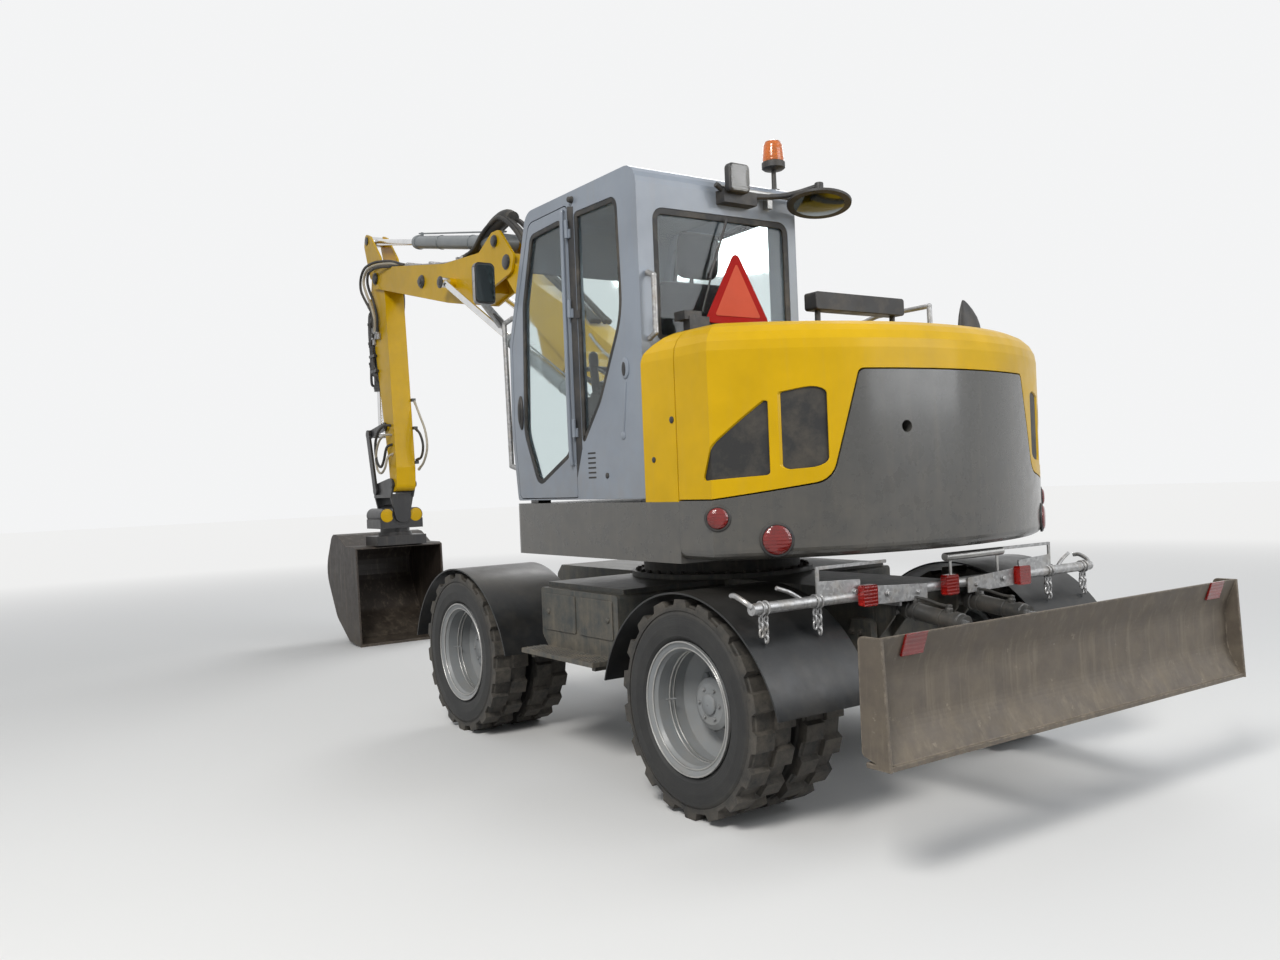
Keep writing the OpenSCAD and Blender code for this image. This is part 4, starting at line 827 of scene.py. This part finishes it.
carrier.lathe(ROOF_MIRROR, MIRROR_AXIS, [(-8, 146), (-8, 158), (4, 160), (8, 150), (14, 118), (2, 118)], 40)
carrier.done("roof_carrier", "upper_structure", "plastic")
mirror = Build()
mirror.lathe(ROOF_MIRROR, MIRROR_AXIS, [(-20, 4), (-18, 50), (-13, 100), (-4, 144), (2, 144), (3, 4)], 40)
mirror.done("roof_mirror", "upper_structure", "mirror")

FRONT_MIRROR = rounded(1250, 2490, 1126, 2720, 30), (1188, 2605)
front_mirror = Build()
front_mirror.rings([drawn_in(*FRONT_MIRROR, x, k) for x, k in (
    (522.6, 0.96), (523, 0.999), (551.8, 0.999), (560, 0.98), (570, 0.9), (577, 0.7), (579, 0.4))])
front_mirror.tube([at(508, 1085, 2374), at(522, 1102, 2400), at(538, 1150, 2445), at(556, 1190, 2500),
                   at(566, 1194, 2560)], 0.012, 12, n=6)
front_mirror.done("front_mirror", "upper_structure", "plastic")
mirror_face = Build()
mirror_face.rings([drawn_in(*FRONT_MIRROR, x, 0.9) for x in (522.9, 521.8)])
mirror_face.done("front_mirror_face", "upper_structure", "mirror")

beacon = Build()
centre = at(-740, 150, CAB_TOP)
beacon.lathe(centre, (0, 0, 1), [(0, 30), (8, 28), (12, 13), (108, 12), (112, 50), (120, 60), (148, 60), (153, 54)], 36)
beacon.done("beacon_base", "upper_structure", "plastic")
dome = Build()
dome.lathe(centre, (0, 0, 1), [(153, 54), (160, 55), (235, 49), (256, 40), (263, 22), (265, 3)], 40)
dome_piece = dome.done("beacon_dome", "upper_structure", "amber")
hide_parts("beacon")
bulb = Build()
bulb.lathe(centre, (0, 0, 1), [(152, 26), (170, 26), (172, 12), (215, 14), (232, 4)], 20)
bulb.done("beacon_bulb", "upper_structure", "bright")

sign = Build()
sign.plate(in_cross(outline([(428, 2236, 8), (712, 2236, 8), (570, 2494, 8)]), CAB_REAR - 60), (-0.002, 0, 0))
sign.done("sign_centre", "upper_structure", "sign_orange")

# ---- Arm ----------------------------------------------------------------
# Each ram's base pin and rod eye in X and Z, the Y of its barrels, their radius and length, and their material
STICK_END = (4870, 1526)
BUCKET_BASE = (5380, 3310)
RAMS = {
    "lift": ((500, 1295), (1812, 2256), (BOOM_Y,), 62, 1050, "barrel"),
    "adjust": ((1010, 1905), (3300, 3170), (-260, 160), 48, 1330, "barrel"),
    "stick": ((2545, 3365), (5320, 3940), (BOOM_Y,), 58, 1790, "barrel"),
    "bucket": (BUCKET_BASE, (STICK_END[0] + 516.3, STICK_END[1] + 507.1), (BOOM_Y,), 50, 850, "barrel_dark"),
    "blade": ((-1500, 860), (-2210, 760), (-215, 215), 38, 400, "barrel_dark")}
for name, (base, eye, sides_y, r, length, mat) in RAMS.items():
    gland = Build()
    dx, dz = eye[0] - base[0], eye[1] - base[1]
    reach = math.hypot(dx, dz)
    d = Vector((dx / reach, 0, dz / reach))
    n = Vector((-d.z, 0, d.x)) * (1 if d.x > 0 and name != "lift" else -1)
    for y in sides_y:
        o = at(base[0], y, base[1])
        gland.lathe(o + d * (length - 62) / 1000, d,
                    [(0, r + 1), (3, r + 7), (34, r + 7), (37, r + 3), (61, r + 3), (61.5, r - 6)], 40)
        gland.lathe(o + d * 0.075, d, [(0, r + 0.5), (4, r + 5), (26, r + 5), (30, r + 0.5)], 40)
        for far in (120, length - 95):
            spot = o + d * far / 1000 + n * (r - 3) / 1000
            gland.lathe(spot, n, [(0, 17), (16, 17), (20, 13), (32, 13), (34, 8)], 6)
        path = [o + d * 0.120 + n * (r + 22) / 1000, o + d * 0.175 + n * (r + 26) / 1000,
                o + d * (length - 150) / 1000 + n * (r + 20) / 1000, o + d * (length - 95) / 1000 + n * (r + 22) / 1000]
        gland.tube(path, 0.007, 8, n=6)
        for far in (0.35, 0.7):
            gland.tube([o + d * length * far / 1000 + (r + 2) / 1000 * (math.cos(a) * n + math.sin(a) * n.cross(d))
                        for a in circle(24)], 0.003, 6, closed=True)
    gland.done(name + "_glands", name + "_barrel", mat)

pins = Build()
for x, z, half, r in ((200, 1600, 163, 46), (500, 1295, 163, 34)):
    for s in (-1, 1):
        pins.lathe(at(x, BOOM_Y + s * half, z), (0, s, 0), [(-6, r), (6, r), (9, r - 5), (10, 6)], 28)
        pins.bolt(at(x + r + 16, BOOM_Y + s * (half - 8), z), (0, s, 0), 16)
pins.done("foot_pins", "upper_structure", "links")
pins = Build()
for x, z, half, r in ((2370, 3170, 120, 50), (2545, 3365, 128, 38), (5050, 3520, 128, 48)):
    for s in (-1, 1):
        pins.lathe(at(x, BOOM_Y + s * half, z), (0, s, 0), [
            (-2, r + 8), (5, r + 8), (6, r), (13, r), (16, r - 6), (17, 6)], 32)
        pins.bolt(at(x, BOOM_Y + s * (half + 5), z - r + 8), (0, s, 0), 14)
for s in (-1, 1):
    pins.lathe(at(3300, BOOM_Y + s * 245.2, 3170), (0, s, 0),
               [(0, 50), (8, 50), (12, 44), (13, 26), (20, 24), (21, 5)], 32)
    pins.lathe(at(3960, BOOM_Y + s * 119, 3300), (0, s, 0),
               [(0, 58), (10, 58), (14, 50), (24, 46), (26, 30), (34, 28), (35, 6)], 32)
pins.done("boom_pins", "upper_boom", "links")
pins = Build()
for x, z, half, r in ((5320, 3940, 95, 40), (*BUCKET_BASE, 76, 30)):
    for s in (-1, 1):
        pins.lathe(at(x, BOOM_Y + s * half, z), (0, s, 0), [(-2, r), (7, r), (10, r - 5), (11, 5)], 28)
pins.done("stick_pins", "stick", "links")


def hose(name, points, r, mat, a, b=None, collars=True):
    """Hydraulic hose through points in millimetres, on body a, or, where b is given, on no body with its placement
    baked into the mesh.
    """
    build = Build()
    path = smooth([at(*p) for p in points], 8)
    build.tube(path, r, 10)
    if collars:
        for tip, towards in ((path[0], path[1]), (path[-1], path[-2])):
            d = (towards - tip).normalized()
            k = 1000 * r
            build.lathe(tip, d,
                        [(0, k * 0.9), (2, k * 1.25), (22, k * 1.25), (24, k * 1.1), (52, k * 1.18), (54, k)], 14)
    obj = build.done(name, None if b else a, mat)
    if b:
        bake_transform(obj)


def front_x(z):
    """X of the stick's front face at height z."""
    return 4975 + (z - 1726) * 0.2048


for i, y in enumerate((-112, -80, -28, 4, 30)):
    lift = 10 * (i % 2)
    over_knee = [(x, y, z + lift) for x, z in ((1560, 2790), (1850, 2990), (2090, 3190), (2290, 3400), (2520, 3545),
                                               (2700, 3530), (2850, 3480))]
    hose("boom_hose_%d" % i, [(1250, y, 2560)] + over_knee + [(3000, y, 3400), (3170, y, 3366)], 0.016, "rubber",
         "lower_boom", "upper_boom")
sleeve = Build()
sleeve.tube([at(x, -42, z) for x, z in ((2440, 3530), (2540, 3562), (2680, 3550), (2850, 3494), (2990, 3418))],
            lambda t: 0.052 + 0.010 * math.sin(math.pi * t), 18, n=8)
sleeve.done("hose_sleeve", "upper_boom", "rubber")
lines = Build()
for y in (-104, -78, -20, 8, 30):
    lines.tube([at(x, y, z) for x, z in ((3120, 3362), (3400, 3371), (3700, 3410), (4000, 3460), (4300, 3511),
                                         (4480, 3543))], 0.009, 10, n=4)
for x, z in ((3300, 3356), (3850, 3424), (4350, 3510)):
    lines.box((x - 14, -118, z), (x + 14, 44, z + 34))
for y in (-92, 12):
    lines.lathe(at(3150, y, 3358), (0.98, 0, 0.17), [(0, 20), (60, 20), (62, 26), (90, 26), (92, 16), (130, 16)], 16)
lines.done("boom_lines", "upper_boom", "tube", bevel=2)
hose("boom_lines_left", [(300, 55, 1800), (700, 58, 2080), (1100, 58, 2350), (1250, 50, 2470)], 0.010, "bright",
     "lower_boom")
# Points of the hoses that cross from the boom to the stick
LOOPS = (
    [(4440, 30, 3540), (4700, 52, 3622), (4960, 84, 3664), (5170, 92, 3672), (5330, 88, 3650), (5430, 84, 3570),
     (5425, 84, 3460), (5300, 84, 3330), (5180, 84, 3220), (5150, 78, 3060), (5190, 70, 2960)],
    [(4440, 8, 3540), (4700, 60, 3600), (4960, 104, 3628), (5170, 112, 3618), (5280, 110, 3530), (5240, 106, 3420),
     (5150, 100, 3290), (5100, 84, 3140), (5130, 72, 3010)],
    [(4440, -20, 3540), (4690, 76, 3570), (4890, 128, 3590), (5070, 134, 3572), (5120, 132, 3500), (5090, 128, 3410),
     (5020, 116, 3290), (5010, 90, 3140), (5060, 74, 3000)],
    [(4440, -104, 3540), (4700, -150, 3610), (4960, -186, 3650), (5170, -192, 3650), (5330, -190, 3600),
     (5400, -186, 3480), (5300, -184, 3330), (5200, -180, 3180), (5190, -168, 3020)],
    [(4440, -78, 3540), (4690, -170, 3560), (4900, -222, 3590), (5080, -230, 3560), (5130, -228, 3470),
     (5090, -222, 3360), (5060, -200, 3220), (5090, -172, 3040)])
for i, points in enumerate(LOOPS):
    y = points[3][1]
    hose("stick_hose_%d" % i, points, 0.013, "pale_hose" if i == 1 else "rubber",
         "upper_boom", "stick")
ports = Build()
for x, y, z in ((5190, 70, 2960), (5130, 72, 3010), (5060, 74, 3000), (5190, -168, 3020), (5090, -172, 3040)):
    ports.box((x - 24, min(y, y * 0.7), z - 62), (x + 24, max(y, y * 0.7), z - 8))
    ports.lathe(at(x, y, z - 12), (0, 0, 1), [(0, 20), (20, 20), (22, 17), (58, 17), (60, 14)], 6)
ports.done("stick_ports", "stick", "tube", bevel=2)
for i, (y, out) in enumerate(((62, 70), (40, 96), (66, 30), (-138, 70), (-160, 40))):
    top = 2890 if y > 0 else 2950
    inner = 34 if y > 0 else -134
    hose("stick_line_%d" % i, [(front_x(z) + ahead, hose_y, z) for z, ahead, hose_y in (
        (top, out - 20, y), (2800, out, y), (2700, out + 8, y), (2600, out * 0.8, y), (2530, 34, (y + inner) / 2),
        (2490, 6, inner))], 0.012, "rubber" if i % 2 else "plastic", "stick")
hose("stick_loop_left", [(4870, 40, 2000), (4885, 100, 2000), (4990, 118, 1960), (5085, 118, 1870), (5120, 116, 1760),
                         (5080, 116, 1670), (4990, 116, 1640), (4900, 112, 1690), (4858, 96, 1790), (4850, 40, 1820)],
     0.011, "pale_hose", "stick", collars=False)
hose("stick_loop_black", [(4880, 40, 2090), (4895, 100, 2090), (5010, 116, 2050), (5105, 116, 1960), (5130, 114, 1850),
                          (5090, 114, 1740), (5000, 114, 1700), (4930, 110, 1760), (4880, 96, 1880), (4866, 40, 1910)],
     0.013, "rubber", "stick", collars=False)
hose("stick_loop_right", [(4812, -168, 2330), (4700, -172, 2180), (4590, -176, 2020), (4560, -176, 1860),
                          (4640, -172, 1730), (4760, -168, 1660)], 0.011, "pale_hose", "stick")
hose("stick_loop_dark", [(4800, -166, 2060), (4690, -168, 1990), (4640, -170, 1880), (4690, -170, 1780),
                         (4800, -166, 1750)], 0.012, "rubber", "stick")

ram_pipes = Build()
base, eye = RAMS["bucket"][:2]
along = Vector((eye[0] - base[0], 0, eye[1] - base[1])).normalized()
ram_up = Vector((-along.z, 0, along.x))
for side, ahead, start, end in ((1, 0.012, 0.06, 0.80), (1, -0.020, 0.10, 0.70), (-1, 0.010, 0.06, 0.78)):
    path = [at(base[0], BOOM_Y + side * y, base[1]) + along * t + ram_up * (ahead + w)
            for t, y, w in ((start, 52, 0.004), (start + 0.05, 72, 0), (0.3, 76, 0.006), (0.5, 72, -0.006),
                            (end - 0.05, 74, 0.004), (end, 54, 0))]
    ram_pipes.tube(path, 0.013, 12, n=6)
    for far in (0.17, 0.36, 0.56):
        ram_pipes.lathe(at(base[0], BOOM_Y + side * 74, base[1]) + along * far + ram_up * ahead, along,
                        [(0, 13), (1, 22), (26, 22), (28, 17), (52, 17), (53, 13)], 6)
ram_pipes.done("bucket_ram_pipes", "bucket_barrel", "links")

clamps = Build()
for z in (2790, 2640):
    x = front_x(z)
    for y0, y1 in ((24, 78), (-172, -122)):
        clamps.box((x - 30, y0, z - 13), (x + 112, y1, z + 13))
for x, z in ((4812, 2330), (4790, 2060), (4792, 1730)):
    clamps.box((x - 20, -180, z - 14), (x + 70, -140, z + 14))
clamps.done("hose_clamps", "stick", "links", bevel=3)

caps = Build()
for y in (-145, 145):
    for out, x in ((-1, 4941.7), (1, 5304.3)):
        caps.lathe(at(x, BOOM_Y + y, 1231), (out, 0, 0), [(-4, 64), (1, 64), (2.5, 58), (2, 26), (3.6, 24), (4, 5)], 32)
caps.done("tilt_caps", "tilt_body", "yellow")
